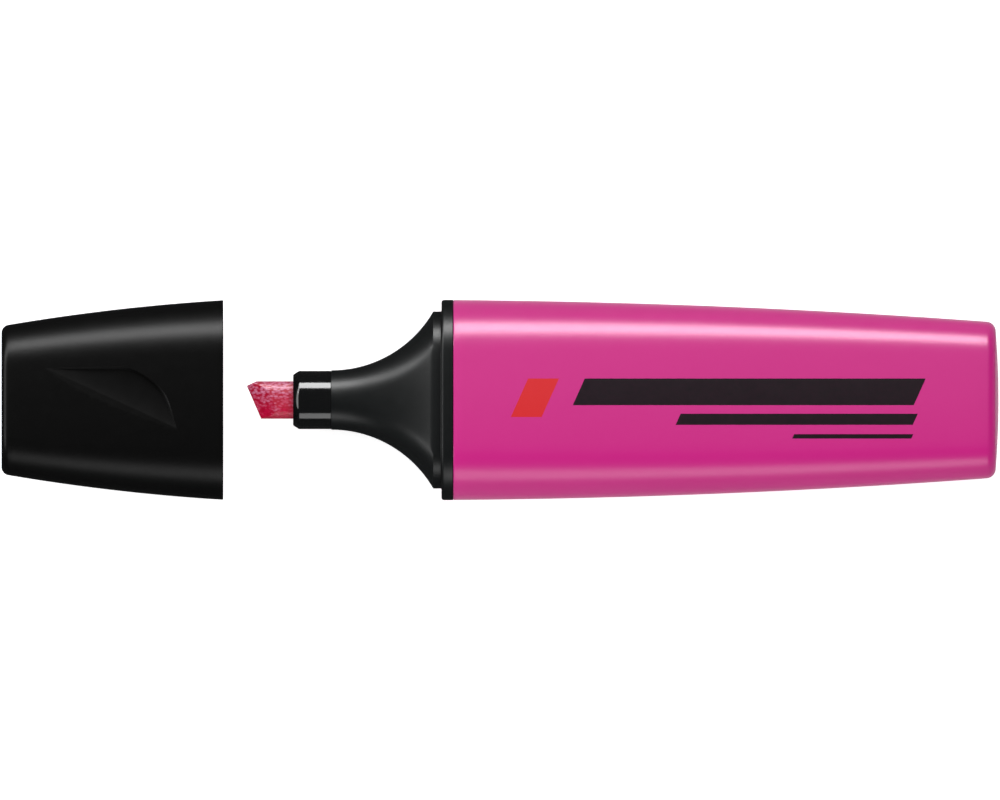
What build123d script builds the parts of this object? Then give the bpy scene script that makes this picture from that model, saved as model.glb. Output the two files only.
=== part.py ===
from build123d import *
from math import atan2, cos, degrees, radians, sin, sqrt
import os

# A flat chisel-tip highlighter lying on its broad face, with its cap drawn off in line.
# The pen's axis runs along X with the tail at +X, its width along Y and its thickness along Z.
# The origin is the middle of the footprint, on the surface that the pen lies on. Millimetres.

# Overall sizes
capped_length = 105.0  # closed end of the cap to the tail, cap on
body_width = 27.0  # at the collar, the widest place
body_thickness = 17.0  # at the collar, the thickest place
cap_gap = 29.4  # how far the cap is drawn off, mouth to collar

# Outer shape of the body: the collar and the barrel behind it
collar_length = 1.6
collar_edge_radius = 0.35
tail_width = 20.92
tail_thickness = 14.4
body_width_swell = 1.3  # how much wider the middle is than a straight taper
body_thickness_swell = 0.6
collar_side_flat = 2.0  # height of the nearly flat narrow side, at the collar
tail_side_flat = 4.8
tail_dome_radius = 120.0
tail_edge_radius = 1.2
side_turn = 5.0  # degrees that a crowned side turns, either way from its middle

# Barrel shell
barrel_wall = 1.2
tail_floor = 1.5
mouth_edge_radius = 0.15

# Outer shape of the cap
cap_step = 0.04  # how far its mouth lies inside the collar's outline
cap_end_width = 19.96
cap_end_thickness = 13.0
cap_width_swell = 0.83
cap_thickness_swell = 0.42
cap_mouth_flat = 2.1  # height of the nearly flat narrow side, at the mouth
cap_end_flat = 1.8
cap_end_radius = 0.9
cap_wall = 1.4
cap_floor = 1.5

# Thumb scoop on each broad face of the cap: its rim, measured from the mouth and the pen's axis
scoop_rim = ((-25.7, 4.2), (-12.4, 4.45), (-8.2, 1.4), (-6.0, -4.8))
scoop_rim_radius = 3.0
scoop_depth = 0.7
scoop_half_width = 4.9
scoop_wall_slope = 30.0

# Neck: a flare from the round seat of the ferrule to the lip that the cap slides over
lip_clearance = 0.12
lip_length = 1.1
flare_length = 13.75
neck_step = 0.085  # how far the neck's front stands proud of the ferrule
neck_wall = 1.3
neck_solid_length = 8.0  # from the neck's front face to the hollow behind it

# Plug that holds the neck in the barrel, with a snap bead
plug_length = 8.0
plug_clearance = 0.05
plug_lead = 1.0
plug_lead_inset = 0.3
bead_height = 0.25
bead_length = 1.2
bead_setback = 4.5  # from the barrel's mouth to the middle of the bead

# Ferrule, the sleeve that grips the nib
ferrule_radius = 3.925
ferrule_length = 5.15  # the part that shows
ferrule_chamfer_length = 0.8
ferrule_chamfer_depth = 0.48
ferrule_edge_radius = 0.15
shank_wall = 0.575
shank_length = 5.2
shank_clearance = 0.02
shank_end_gap = 0.1
vent_width = 0.5
vent_depth = 0.25

# Nib
nib_width = 5.05
nib_thickness = 3.8
nib_corner = 1.6
nib_clearance = 0.05
nib_reach = 6.23  # from the ferrule's front face to the toe of the chisel
nib_slant_length = 1.93  # how far the heel of the chisel is behind the toe
nib_toe_drop = 0.62
nib_toe_length = 1.3
nib_bevel_angle = 25.6
nib_edge_thickness = 1.5  # the blunt writing edge
nib_point_length = 2.5
nib_point_inset = 0.9
nib_into_core = 4.0

# Ink reservoir: a fibre core in a film sleeve, which is pushed in through the plug
core_side_flat = 1.2
core_setback = 3.0  # from the collar's front face
core_tail_gap = 7.6  # from its end to the barrel's floor
film_thickness = 0.12
film_clearance = 0.02
film_side_gap = 1.99  # to the plug's opening, at the narrow sides
film_face_gap = 0.22  # and at the broad faces

# Ribs in the barrel that centre the reservoir and stop it at the tail
rib_thickness = 0.9
rib_spacing = 10.0
rib_setback = 12.0  # from the collar's front face
rib_clearance = 0.06
rib_root = 0.5  # how far a rib runs into the wall
least_rib_height = 0.5

# Tube and webs that carry the nib through the neck
tube_wall = 0.83
tube_end = 2.4  # from the collar's front face
tube_clearance = 0.1
web_thickness = 0.9

# Inner cap that seals the nib, and the socket that holds it in the cap
seal_clearance = 0.04
seal_wall = 0.9
seal_end_wall = 0.8
seal_mouth_gap = 0.4  # from its open end to the neck's front face, cap on
seal_lead = 0.5
chamber_clearance = 1.075  # beside the nib
chamber_gap = 0.35  # from the ferrule's front face to the nib chamber, cap on
chamber_end_gap = 1.37  # from the nib's toe to the end of its chamber, cap on
socket_wall = 0.9
socket_depth = 6.0
socket_clearance = 0.02
cap_web_length = 11.0

# Stations: distances behind the collar's front face
neck_front = -lip_length - flare_length
ferrule_front = neck_front - ferrule_length
nib_tip = ferrule_front - nib_reach
bead_station = collar_length + bead_setback
plug_end = collar_length + plug_length

# Lengths and places along X
cap_length = chamber_end_gap - nib_tip + seal_end_wall + cap_floor
body_length = capped_length - cap_length
core_length = body_length - tail_floor - core_tail_gap - core_setback
x_tail = (capped_length + cap_gap) / 2
x_collar = x_tail - body_length
x_mouth = x_collar - cap_gap
x_cap_floor = x_mouth - cap_length + cap_floor
axis_height = body_thickness / 2
pen_axis = Axis((0, 0, axis_height), (1, 0, 0))

# Radii about the axis
neck_front_radius = ferrule_radius + neck_step
shank_radius = nib_width / 2 + nib_clearance + shank_wall
tube_radius = shank_radius + shank_clearance + tube_wall
chamber_radius = nib_width / 2 + chamber_clearance
seal_bore = ferrule_radius + seal_clearance
seal_radius = seal_bore + seal_wall
socket_radius = seal_radius + socket_clearance


def spread(start, stop, count):
    """Evenly spaced stations from start to stop."""
    return [start + (stop - start) * step / (count - 1) for step in range(count)]


def taper(share, start, end, swell=0.0):
    """A size at a share of the way from start to end, fuller by swell in the middle than a straight line."""
    return start + (end - start) * share + 4 * swell * share * (1 - share)


def across(x):
    """The plane across the pen at x, with its own x along +Y and its own y up."""
    return Plane(origin=(x, 0, axis_height), x_dir=(0, 1, 0), z_dir=(1, 0, 0))


def section(x, half_width, half_thickness, corner):
    """A cross-section of tangent arcs: four crowned sides and four corners. Equal sizes give a circle."""
    turn = radians(side_turn)
    rise, sag = sin(turn), 1 - cos(turn)
    wide = half_width - corner * (cos(turn) - rise)
    tall = half_thickness - corner * (cos(turn) - rise)
    face_radius = (wide * rise - tall * sag) / (rise**2 - sag**2)
    side_radius = (tall * rise - wide * sag) / (rise**2 - sag**2)
    side_center, face_center = half_width - side_radius, half_thickness - face_radius
    corner_y, corner_z = (face_radius - corner) * rise, (side_radius - corner) * rise
    corner_turn = 90 - 2 * side_turn
    with BuildLine(across(x)) as outline:
        for half, start in ((1, 0), (-1, 180)):
            CenterArc((half * side_center, 0), side_radius, start - side_turn, 2 * side_turn)
            CenterArc((half * corner_y, half * corner_z), corner, start + side_turn, corner_turn)
            CenterArc((0, half * face_center), face_radius, start + 90 - side_turn, 2 * side_turn)
            CenterArc((-half * corner_y, half * corner_z), corner, start + 90 + side_turn, corner_turn)
    return Face(outline.wire())


def body_sizes(station, inset=0.0):
    """The half width, half thickness and corner radius of the body at a station, drawn in by inset."""
    share = station / body_length
    half_width = taper(share, body_width, tail_width, body_width_swell) / 2 - inset
    half_thickness = taper(share, body_thickness, tail_thickness, body_thickness_swell) / 2 - inset
    return half_width, half_thickness, half_thickness - taper(share, collar_side_flat, tail_side_flat) / 2


def body_section(station, inset=0.0):
    """The cross-section of the collar and barrel at a station, drawn in by inset."""
    return section(x_collar + station, *body_sizes(station, inset))


def cap_sizes(depth, inset=0.0):
    """The cap's half width, half thickness and corner radius at a depth from its mouth, drawn in by inset."""
    share = depth / cap_length
    mouth_width, mouth_thickness = body_width - 2 * cap_step, body_thickness - 2 * cap_step
    half_width = taper(share, mouth_width, cap_end_width, cap_width_swell) / 2 - inset
    half_thickness = taper(share, mouth_thickness, cap_end_thickness, cap_thickness_swell) / 2 - inset
    return half_width, half_thickness, half_thickness - taper(share, cap_mouth_flat, cap_end_flat) / 2


def cap_section(depth, inset=0.0):
    """The cap's cross-section at a depth from its mouth, drawn in by inset."""
    return section(x_mouth - depth, *cap_sizes(depth, inset))


def lip_section(station, inset=0.0):
    """The lip's cross-section, which is the cap's mouth less its wall and clearance, drawn in by inset."""
    return section(x_collar + station, *cap_sizes(0, cap_wall + lip_clearance + inset))


def neck_section(station, inset=0.0):
    """The flare's cross-section: its width and thickness both grow along arcs that leave the neck's front."""
    run = station - neck_front
    lip_width, lip_thickness, lip_corner = cap_sizes(0, cap_wall + lip_clearance)
    grown = []
    for lip_size in (lip_width, lip_thickness):
        growth = lip_size - neck_front_radius
        arc_radius = (flare_length**2 + growth**2) / (2 * growth)
        grown.append(neck_front_radius + arc_radius - sqrt(arc_radius**2 - run**2) - inset)
    side_flat = taper(run / flare_length, 0, lip_thickness - lip_corner)
    return section(x_collar + station, *grown, grown[1] - side_flat)


def bar_section(x, width, thickness, corner, growth=0.0):
    """A rounded bar's cross-section, as the nib and the reservoir have, grown all round."""
    with BuildSketch(across(x)) as outline:
        RectangleRounded(width + 2 * growth, thickness + 2 * growth, corner + growth)
    return outline.sketch


def nib_section(x, growth=0.0):
    """The nib's cross-section, grown all round."""
    return bar_section(x, nib_width, nib_thickness, nib_corner, growth)


def core_section(x, growth=0.0):
    """The reservoir core's cross-section, grown all round. In its film it passes the plug and the ribs."""
    plug_width, plug_thickness, _ = cap_sizes(0, cap_wall + lip_clearance + neck_wall)
    rib_room = barrel_wall + least_rib_height + rib_clearance
    ribs_width, ribs_thickness, _ = body_sizes(core_setback + core_length, rib_room)
    film_width = 2 * min(plug_width - film_side_gap, ribs_width)
    film_height = 2 * min(plug_thickness - film_face_gap, ribs_thickness)
    film_depth = 2 * (film_thickness + film_clearance)
    corner = (film_height - film_depth - core_side_flat) / 2
    return bar_section(x, film_width - film_depth, film_height - film_depth, corner, growth)


# Locating ribs: two upright and one level, which hold the reservoir and cross behind it
with BuildPart() as locating_ribs:
    rib_end = body_length - tail_floor + rib_root
    rib_length = rib_end - rib_setback
    with Locations((x_collar + rib_setback + rib_length / 2, 0, axis_height)):
        with GridLocations(0, rib_spacing, 1, 2):
            Box(rib_length, rib_thickness, body_thickness)
        Box(rib_length, body_width, rib_thickness)
    rib_inset = barrel_wall - rib_root
    rib_reach = [body_section(station, rib_inset) for station in spread(rib_setback, rib_end, 5)]
    loft(sections=rib_reach, mode=Mode.INTERSECT)
    reservoir_space = core_section(x_collar + rib_setback, film_clearance + film_thickness + rib_clearance)
    space_length = core_setback + core_length + rib_clearance - rib_setback
    extrude(reservoir_space, space_length, mode=Mode.SUBTRACT)

# Barrel: a closed-ended shell with a groove for the snap bead and the ribs inside
bead_stations = (bead_station - bead_length / 2, bead_station, bead_station + bead_length / 2)
bead_insets = (barrel_wall, barrel_wall - bead_height, barrel_wall)
with BuildPart() as barrel:
    loft(sections=[body_section(station) for station in spread(collar_length, body_length, 5)])
    with Locations((x_tail - tail_dome_radius, 0, axis_height)):
        Sphere(tail_dome_radius, mode=Mode.INTERSECT)
    fillet(barrel.faces().sort_by(Axis.X)[-1].edges(), tail_edge_radius)
    fillet(barrel.faces().sort_by(Axis.X)[0].edges(), mouth_edge_radius)
    inside = [body_section(s, barrel_wall) for s in spread(collar_length, body_length - tail_floor, 5)]
    loft(sections=inside, mode=Mode.SUBTRACT)
    groove = [body_section(station, inset) for station, inset in zip(bead_stations, bead_insets)]
    loft(sections=groove, ruled=True, mode=Mode.SUBTRACT)
    add(locating_ribs.part)
barrel.part.label = "barrel"

# Collar: the flange between the cap and the barrel
with BuildPart() as collar:
    extrude(body_section(0), collar_length)
    fillet(collar.faces().sort_by(Axis.X)[0].edges(), collar_edge_radius)

# Neck webs: an upright and a level web that carry the nib tube
hollow_front = neck_front + neck_solid_length
hollow_stations = spread(hollow_front, -lip_length, 5)
with BuildPart() as neck_webs:
    web_length = tube_end - hollow_front
    with Locations((x_collar + hollow_front + web_length / 2, 0, axis_height)):
        Box(web_length, web_thickness, body_thickness)
        Box(web_length, body_width, web_thickness)
    web_reach = [neck_section(station, neck_wall / 2) for station in hollow_stations]
    loft(sections=[*web_reach, lip_section(tube_end, neck_wall / 2)], ruled=True, mode=Mode.INTERSECT)

# Front section: the flare, lip, collar and plug in one moulding, with the nib tube and its webs inside
with BuildPart() as front_section:
    loft(sections=[neck_section(station) for station in spread(neck_front, -lip_length, 7)])
    extrude(lip_section(-lip_length), lip_length)
    add(collar.part)
    plug_inset = barrel_wall + plug_clearance
    lead_station = plug_end - plug_lead
    loft(sections=[body_section(station, plug_inset) for station in spread(collar_length, lead_station, 3)])
    lead_in = [body_section(lead_station, plug_inset), body_section(plug_end, plug_inset + plug_lead_inset)]
    loft(sections=lead_in, ruled=True)
    bead = [body_section(s, inset + plug_clearance) for s, inset in zip(bead_stations, bead_insets)]
    loft(sections=bead, ruled=True)
    loft(sections=[neck_section(station, neck_wall) for station in hollow_stations], mode=Mode.SUBTRACT)
    extrude(lip_section(-lip_length, neck_wall), lip_length + plug_end, mode=Mode.SUBTRACT)
    with BuildSketch(across(x_collar + hollow_front)):
        Circle(tube_radius)
    extrude(amount=tube_end - hollow_front)
    add(neck_webs.part)
    with BuildSketch(across(x_collar + neck_front)):
        Circle(shank_radius + shank_clearance)
    extrude(amount=shank_length + shank_end_gap, mode=Mode.SUBTRACT)
    passage = nib_section(x_collar + neck_front, tube_clearance)
    extrude(passage, tube_end - neck_front, mode=Mode.SUBTRACT)
front_section.part.label = "front_section"

# Ferrule: a turned sleeve on a shank, with a bore for the nib and an air vent above and below it
with BuildPart() as ferrule:
    with BuildSketch(Plane(origin=(x_collar, 0, axis_height), x_dir=(1, 0, 0), z_dir=(0, -1, 0))):
        with BuildLine():
            Polyline(
                (ferrule_front, 0),
                (ferrule_front, ferrule_radius - ferrule_chamfer_depth),
                (ferrule_front + ferrule_chamfer_length, ferrule_radius),
                (neck_front, ferrule_radius),
                (neck_front, shank_radius),
                (neck_front + shank_length, shank_radius),
                (neck_front + shank_length, 0),
                close=True,
            )
        make_face()
    revolve(axis=pen_axis)
    fillet(ferrule.edges().filter_by(GeomType.CIRCLE).group_by(Axis.X)[0], ferrule_edge_radius)
    bore_length = ferrule_length + shank_length
    extrude(nib_section(x_collar + ferrule_front, nib_clearance), bore_length, mode=Mode.SUBTRACT)
    with Locations((x_collar + ferrule_front + bore_length / 2, 0, axis_height)):
        Box(bore_length, vent_width, nib_thickness + 2 * (nib_clearance + vent_depth), mode=Mode.SUBTRACT)
ferrule.part.label = "ferrule"

# Nib: a bar with a slanted chisel edge in front, bevelled on both sides, and a point that feeds from the core
x_tip = x_collar + nib_tip
nib_length = core_setback + nib_into_core - nib_tip
nib_side = nib_width / 2
toe = (x_tip, nib_side - nib_toe_drop)
heel = (x_tip + nib_slant_length, -nib_side)
slant = atan2(heel[0] - toe[0], toe[1] - heel[1])
bevel = radians(nib_bevel_angle)
with BuildPart() as nib:
    extrude(nib_section(x_tip), nib_length - nib_point_length)
    x_point = x_tip + nib_length - nib_point_length
    point_ends = [nib_section(x_point), nib_section(x_tip + nib_length, -nib_point_inset)]
    loft(sections=point_ends, ruled=True)
    with BuildSketch(Plane.XY):
        with BuildLine():
            Polyline(
                toe,
                heel,
                (x_tip + nib_length, -nib_side),
                (x_tip + nib_length, nib_side),
                (x_tip + nib_toe_length, nib_side),
                close=True,
            )
        make_face()
    extrude(amount=body_thickness, mode=Mode.INTERSECT)
    for side in (1, -1):
        bevel_plane = Plane(
            origin=(*toe, axis_height + side * nib_edge_thickness / 2),
            x_dir=(sin(slant), -cos(slant), 0),
            z_dir=(-cos(slant) * sin(bevel), -sin(slant) * sin(bevel), side * cos(bevel)),
        )
        with Locations(bevel_plane):
            aligned = (Align.CENTER, Align.CENTER, Align.MIN)
            Box(4 * nib_width, 4 * nib_width, nib_width, align=aligned, mode=Mode.SUBTRACT)
nib.part.label = "nib"

# Reservoir core: a bar of bonded fibre with a pocket for the nib's point
with BuildPart() as reservoir_core:
    extrude(core_section(x_collar + core_setback), core_length)
    pocket = nib_section(x_collar + core_setback, nib_clearance)
    extrude(pocket, nib_into_core + nib_clearance, mode=Mode.SUBTRACT)
reservoir_core.part.label = "reservoir_core"

# Reservoir film: the sleeve round the core
with BuildPart() as reservoir_film:
    extrude(core_section(x_collar + core_setback, film_clearance + film_thickness), core_length)
    extrude(core_section(x_collar + core_setback, film_clearance), core_length, mode=Mode.SUBTRACT)
reservoir_film.part.label = "reservoir_film"

# Thumb scoop: a trough lying slantwise on the face, cut off by a sloping wall under its rim
rim_start, rim_end = Vector(scoop_rim[0]), Vector(scoop_rim[-1])
scoop_middle = (rim_start + rim_end) / 2
scoop_angle = degrees(atan2(rim_end.Y - rim_start.Y, rim_end.X - rim_start.X))
face_rise = cap_sizes(-rim_end.X)[1] - cap_sizes(-rim_start.X)[1]
face_slope = atan2(face_rise, rim_end.X - rim_start.X)
scoop_plane = Plane(
    origin=(x_mouth, 0, axis_height + cap_sizes(-scoop_middle.X)[1] - scoop_middle.X * sin(face_slope)),
    x_dir=(cos(face_slope), 0, sin(face_slope)),
    z_dir=(-sin(face_slope), 0, cos(face_slope)),
)
trough_radius = (scoop_half_width**2 + scoop_depth**2) / (2 * scoop_depth)
with BuildPart() as scoop:
    with BuildSketch(scoop_plane) as scoop_outline:
        with BuildLine():
            rim = FilletPolyline(*scoop_rim, radius=scoop_rim_radius)
            Polyline(rim @ 1, (rim_start.X, rim_end.Y), rim @ 0)
        make_face()
    extrude(amount=-2 * scoop_depth, taper=scoop_wall_slope)
    extrude(scoop_outline.sketch, scoop_depth, taper=-scoop_wall_slope)
    trough_point = (scoop_middle.X, scoop_middle.Y, trough_radius - scoop_depth)
    trough_place = Location(trough_point, (0, 0, scoop_angle))
    with Locations(scoop_plane):
        with Locations(trough_place):
            with Locations((0, scoop_half_width)):
                Cylinder(trough_radius, 4 * cap_length, rotation=(0, 90, 0), mode=Mode.INTERSECT)

# Cap shell: a closed-ended shell with a scoop on each broad face, and the socket on two webs inside
with BuildPart() as cap_webs:
    with Locations((x_cap_floor + cap_web_length / 2, 0, axis_height)):
        Box(cap_web_length, body_width, web_thickness)
    web_depths = spread(cap_length - cap_floor, cap_length - cap_floor - cap_web_length, 3)
    loft(sections=[cap_section(depth, cap_wall / 2) for depth in web_depths], mode=Mode.INTERSECT)

with BuildPart() as cap_shell:
    loft(sections=[cap_section(depth) for depth in spread(0, cap_length, 5)])
    fillet(cap_shell.faces().sort_by(Axis.X)[0].edges(), cap_end_radius)
    fillet(cap_shell.faces().sort_by(Axis.X)[-1].edges(), mouth_edge_radius)
    inside = [cap_section(depth, cap_wall) for depth in spread(0, cap_length - cap_floor, 5)]
    loft(sections=inside, mode=Mode.SUBTRACT)
    with BuildSketch(across(x_cap_floor)):
        Circle(socket_radius + socket_wall)
    extrude(amount=socket_depth)
    add(cap_webs.part)
    with BuildSketch(across(x_cap_floor)):
        Circle(socket_radius)
    extrude(amount=cap_web_length, mode=Mode.SUBTRACT)
    add(scoop.part, mode=Mode.SUBTRACT)
    add(scoop.part.rotate(pen_axis, 180), mode=Mode.SUBTRACT)
cap_shell.part.label = "cap_shell"

# Inner cap: a turned cup with a bore that seals on the ferrule and a chamber for the nib
with BuildPart() as inner_cap:
    seal_open = seal_mouth_gap - neck_front
    chamber_open = chamber_gap - ferrule_front
    with BuildSketch(Plane(origin=(x_mouth, 0, axis_height), x_dir=(-1, 0, 0), z_dir=(0, 1, 0))):
        with BuildLine():
            Polyline(
                (seal_open, seal_radius),
                (cap_length - cap_floor, seal_radius),
                (cap_length - cap_floor, 0),
                (cap_length - cap_floor - seal_end_wall, 0),
                (cap_length - cap_floor - seal_end_wall, chamber_radius),
                (chamber_open, chamber_radius),
                (chamber_open, seal_bore),
                (seal_open + seal_lead, seal_bore),
                (seal_open, seal_bore + seal_lead),
                close=True,
            )
        make_face()
    revolve(axis=pen_axis)
inner_cap.part.label = "inner_cap"

os.makedirs("parts", exist_ok=True)
for piece in (barrel, front_section, ferrule, nib, reservoir_core, reservoir_film, cap_shell, inner_cap):
    export_step(piece.part, f"parts/{piece.part.label}.step")
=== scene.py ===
"""A flat chisel-tip highlighter with its cap drawn off in line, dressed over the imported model's frame.

The pen's axis runs along X with the tail at +X, its width along Y and its thickness along Z. Metres.
"""

import logging
import math
from dataclasses import dataclass
from enum import Enum
from typing import Any, Callable, Iterable, Optional, Sequence, Union

import bmesh
import bpy
from mathutils import Matrix, Vector


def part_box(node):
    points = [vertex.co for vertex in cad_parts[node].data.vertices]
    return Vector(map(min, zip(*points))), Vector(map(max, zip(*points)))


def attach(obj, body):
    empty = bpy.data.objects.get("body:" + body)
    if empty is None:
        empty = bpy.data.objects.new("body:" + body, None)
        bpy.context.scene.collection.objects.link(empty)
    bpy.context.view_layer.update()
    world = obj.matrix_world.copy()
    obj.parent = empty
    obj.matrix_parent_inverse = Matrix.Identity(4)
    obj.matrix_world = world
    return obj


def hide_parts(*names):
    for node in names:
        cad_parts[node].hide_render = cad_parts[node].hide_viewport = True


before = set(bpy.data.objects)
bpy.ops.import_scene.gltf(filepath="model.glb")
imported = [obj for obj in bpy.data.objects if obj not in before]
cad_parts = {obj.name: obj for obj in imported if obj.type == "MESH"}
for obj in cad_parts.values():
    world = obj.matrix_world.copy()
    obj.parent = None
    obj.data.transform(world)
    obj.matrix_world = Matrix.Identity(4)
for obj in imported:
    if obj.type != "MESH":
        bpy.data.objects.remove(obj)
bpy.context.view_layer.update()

log = logging.getLogger("highlighter")

MM = 0.001
CROWN_TURN = math.radians(5.0)  # how far a crowned side turns, either way from its middle
FLAT_TURN = math.radians(0.2)  # the same for the sides of a bar, which are flat
WELD = 1e-6  # points nearer than this are one point
HAIR = 0.012 * MM  # how far apart rings in the same plane are drawn, which bridging needs
SPECK = 0.01 * MM  # the size of the plane that is merged to a starting point
PAST_THE_EDGE = 1 * MM  # how far a cutting tool runs past what it cuts


class Cut(Enum):
    """What a tool does to the piece it is used on."""

    TAKE_AWAY = "DIFFERENCE"
    KEEP_INSIDE = "INTERSECT"
    WELD_ON = "UNION"


class Body(Enum):
    """The two bodies that move against each other."""

    PEN = "pen"
    CAP = "cap"


# Outlines and rings


@dataclass(frozen=True)
class Arc:
    """One arc of an outline, in the plane across the pen.

    Attributes:
        y: Its centre, across the width.
        z: Its centre, above the pen's axis.
        sweep: The angle that it turns through, in radians.
        steps: How many straight runs it is divided into.
    """

    y: float
    z: float
    sweep: float
    steps: int


@dataclass(frozen=True)
class Grain:
    """How finely an outline is divided: the runs of each narrow side, corner and broad face."""

    side: int = 4
    corner: int = 12
    face: int = 12


@dataclass(frozen=True)
class Outline:
    """A cross-section of tangent arcs: four crowned sides and four corners. Equal sizes give a circle.

    Attributes:
        half_width: From the pen's axis to a narrow side.
        half_thickness: From the pen's axis to a broad face.
        corner: The corner's radius.
        turn: How far a crowned side turns, either way from its middle, in radians.
    """

    half_width: float
    half_thickness: float
    corner: float
    turn: float = CROWN_TURN

    @classmethod
    def round(cls, radius: float) -> "Outline":
        """A circle about the pen's axis."""
        return cls(radius, radius, radius)

    @classmethod
    def bar(cls, width: float, thickness: float, corner: float) -> "Outline":
        """A bar's outline, with flat sides and rounded corners."""
        return cls(width / 2, thickness / 2, corner, FLAT_TURN)

    def inset(self, depth: float) -> "Outline":
        """The outline drawn in by a depth all round, or let out by a negative one."""
        return Outline(self.half_width - depth, self.half_thickness - depth, self.corner - depth, self.turn)

    def shrunk(self, share: float) -> "Outline":
        """The outline at a share of its size, about the pen's axis."""
        return Outline(self.half_width * share, self.half_thickness * share, self.corner * share, self.turn)

    def arcs(self, grain: Grain) -> tuple[Vector, list[Arc]]:
        """Works out the arcs, going round from the lower end of the narrow side at +Y.

        Args:
            grain: How finely each arc is divided.

        Returns:
            The starting point, as (y, z) from the pen's axis, and the eight arcs in order.
        """
        rise = math.sin(self.turn)
        sag = 1 - math.cos(self.turn)
        reach = self.corner * (math.cos(self.turn) - rise)
        wide = self.half_width - reach
        tall = self.half_thickness - reach
        face_radius = (wide * rise - tall * sag) / (rise**2 - sag**2)
        side_radius = (tall * rise - wide * sag) / (rise**2 - sag**2)
        side_middle = self.half_width - side_radius
        face_middle = self.half_thickness - face_radius
        corner_y = (face_radius - self.corner) * rise
        corner_z = (side_radius - self.corner) * rise
        corner_turn = math.pi / 2 - 2 * self.turn
        arcs = []
        for half in (1, -1):
            arcs.append(Arc(half * side_middle, 0.0, 2 * self.turn, grain.side))
            arcs.append(Arc(half * corner_y, half * corner_z, corner_turn, grain.corner))
            arcs.append(Arc(0.0, half * face_middle, 2 * self.turn, grain.face))
            arcs.append(Arc(-half * corner_y, half * corner_z, corner_turn, grain.corner))
        start = Vector((side_middle + side_radius * math.cos(self.turn), -side_radius * rise))
        return start, arcs


@dataclass(frozen=True)
class Ring:
    """An outline at its place along the pen."""

    x: float
    outline: Outline


def parted(rings: Sequence[Ring], joined_round: bool) -> list[Ring]:
    """Moves rings that share a plane a hair apart, because bridging has to know which one lies ahead.

    Args:
        rings: The rings in order.
        joined_round: True where the last ring meets the first.

    Returns:
        The rings, none in the same plane as the one before it.
    """
    moved: list[Ring] = []
    for index, ring in enumerate(rings):
        x = ring.x
        if moved and abs(x - moved[-1].x) < HAIR:
            x = moved[-1].x + math.copysign(HAIR, x - moved[-1].x)
        if joined_round and index == len(rings) - 1 and abs(x - moved[0].x) < HAIR:
            x = moved[0].x + math.copysign(HAIR, moved[-1].x - moved[0].x)
        moved.append(Ring(x, ring.outline))
    return moved


def steps_between(start: float, stop: float, count: int) -> list[float]:
    """Evenly spaced values from start to stop, with both ends."""
    return [start + (stop - start) * step / (count - 1) for step in range(count)]


def tapered(share: float, start: float, end: float, swell: float = 0.0) -> float:
    """A size at a share of the way from start to end, fuller by swell in the middle than a straight line."""
    return start + (end - start) * share + 4 * swell * share * (1 - share)


@dataclass(frozen=True)
class Moulding:
    """A tapering, slightly swelling form along the pen, as the barrel and the cap have.

    Attributes:
        x: Where it starts.
        direction: 1 where it runs towards the tail, -1 where it runs the other way.
        length: From its start to its far end.
        width: Its widths at the start and the far end.
        width_swell: How much wider its middle is than a straight taper.
        thickness: Its thicknesses at the start and the far end.
        thickness_swell: How much thicker its middle is than a straight taper.
        side_flat: The height of its nearly flat narrow side, at the start and the far end.
    """

    x: float
    direction: int
    length: float
    width: tuple[float, float]
    width_swell: float
    thickness: tuple[float, float]
    thickness_swell: float
    side_flat: tuple[float, float]

    def outline(self, run: float, inset: float = 0.0) -> Outline:
        """Works out the outline at a distance from the start.

        Args:
            run: The distance along the pen.
            inset: How far the outline is drawn in.

        Returns:
            The outline there.
        """
        share = run / self.length
        half_width = tapered(share, *self.width, self.width_swell) / 2
        half_thickness = tapered(share, *self.thickness, self.thickness_swell) / 2
        corner = half_thickness - tapered(share, *self.side_flat) / 2
        return Outline(half_width, half_thickness, corner).inset(inset)

    def ring(self, run: float, inset: float = 0.0) -> Ring:
        """The ring at a distance from the start, drawn in by inset."""
        return Ring(self.x + self.direction * run, self.outline(run, inset))


# Tools for shaping meshes


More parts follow.
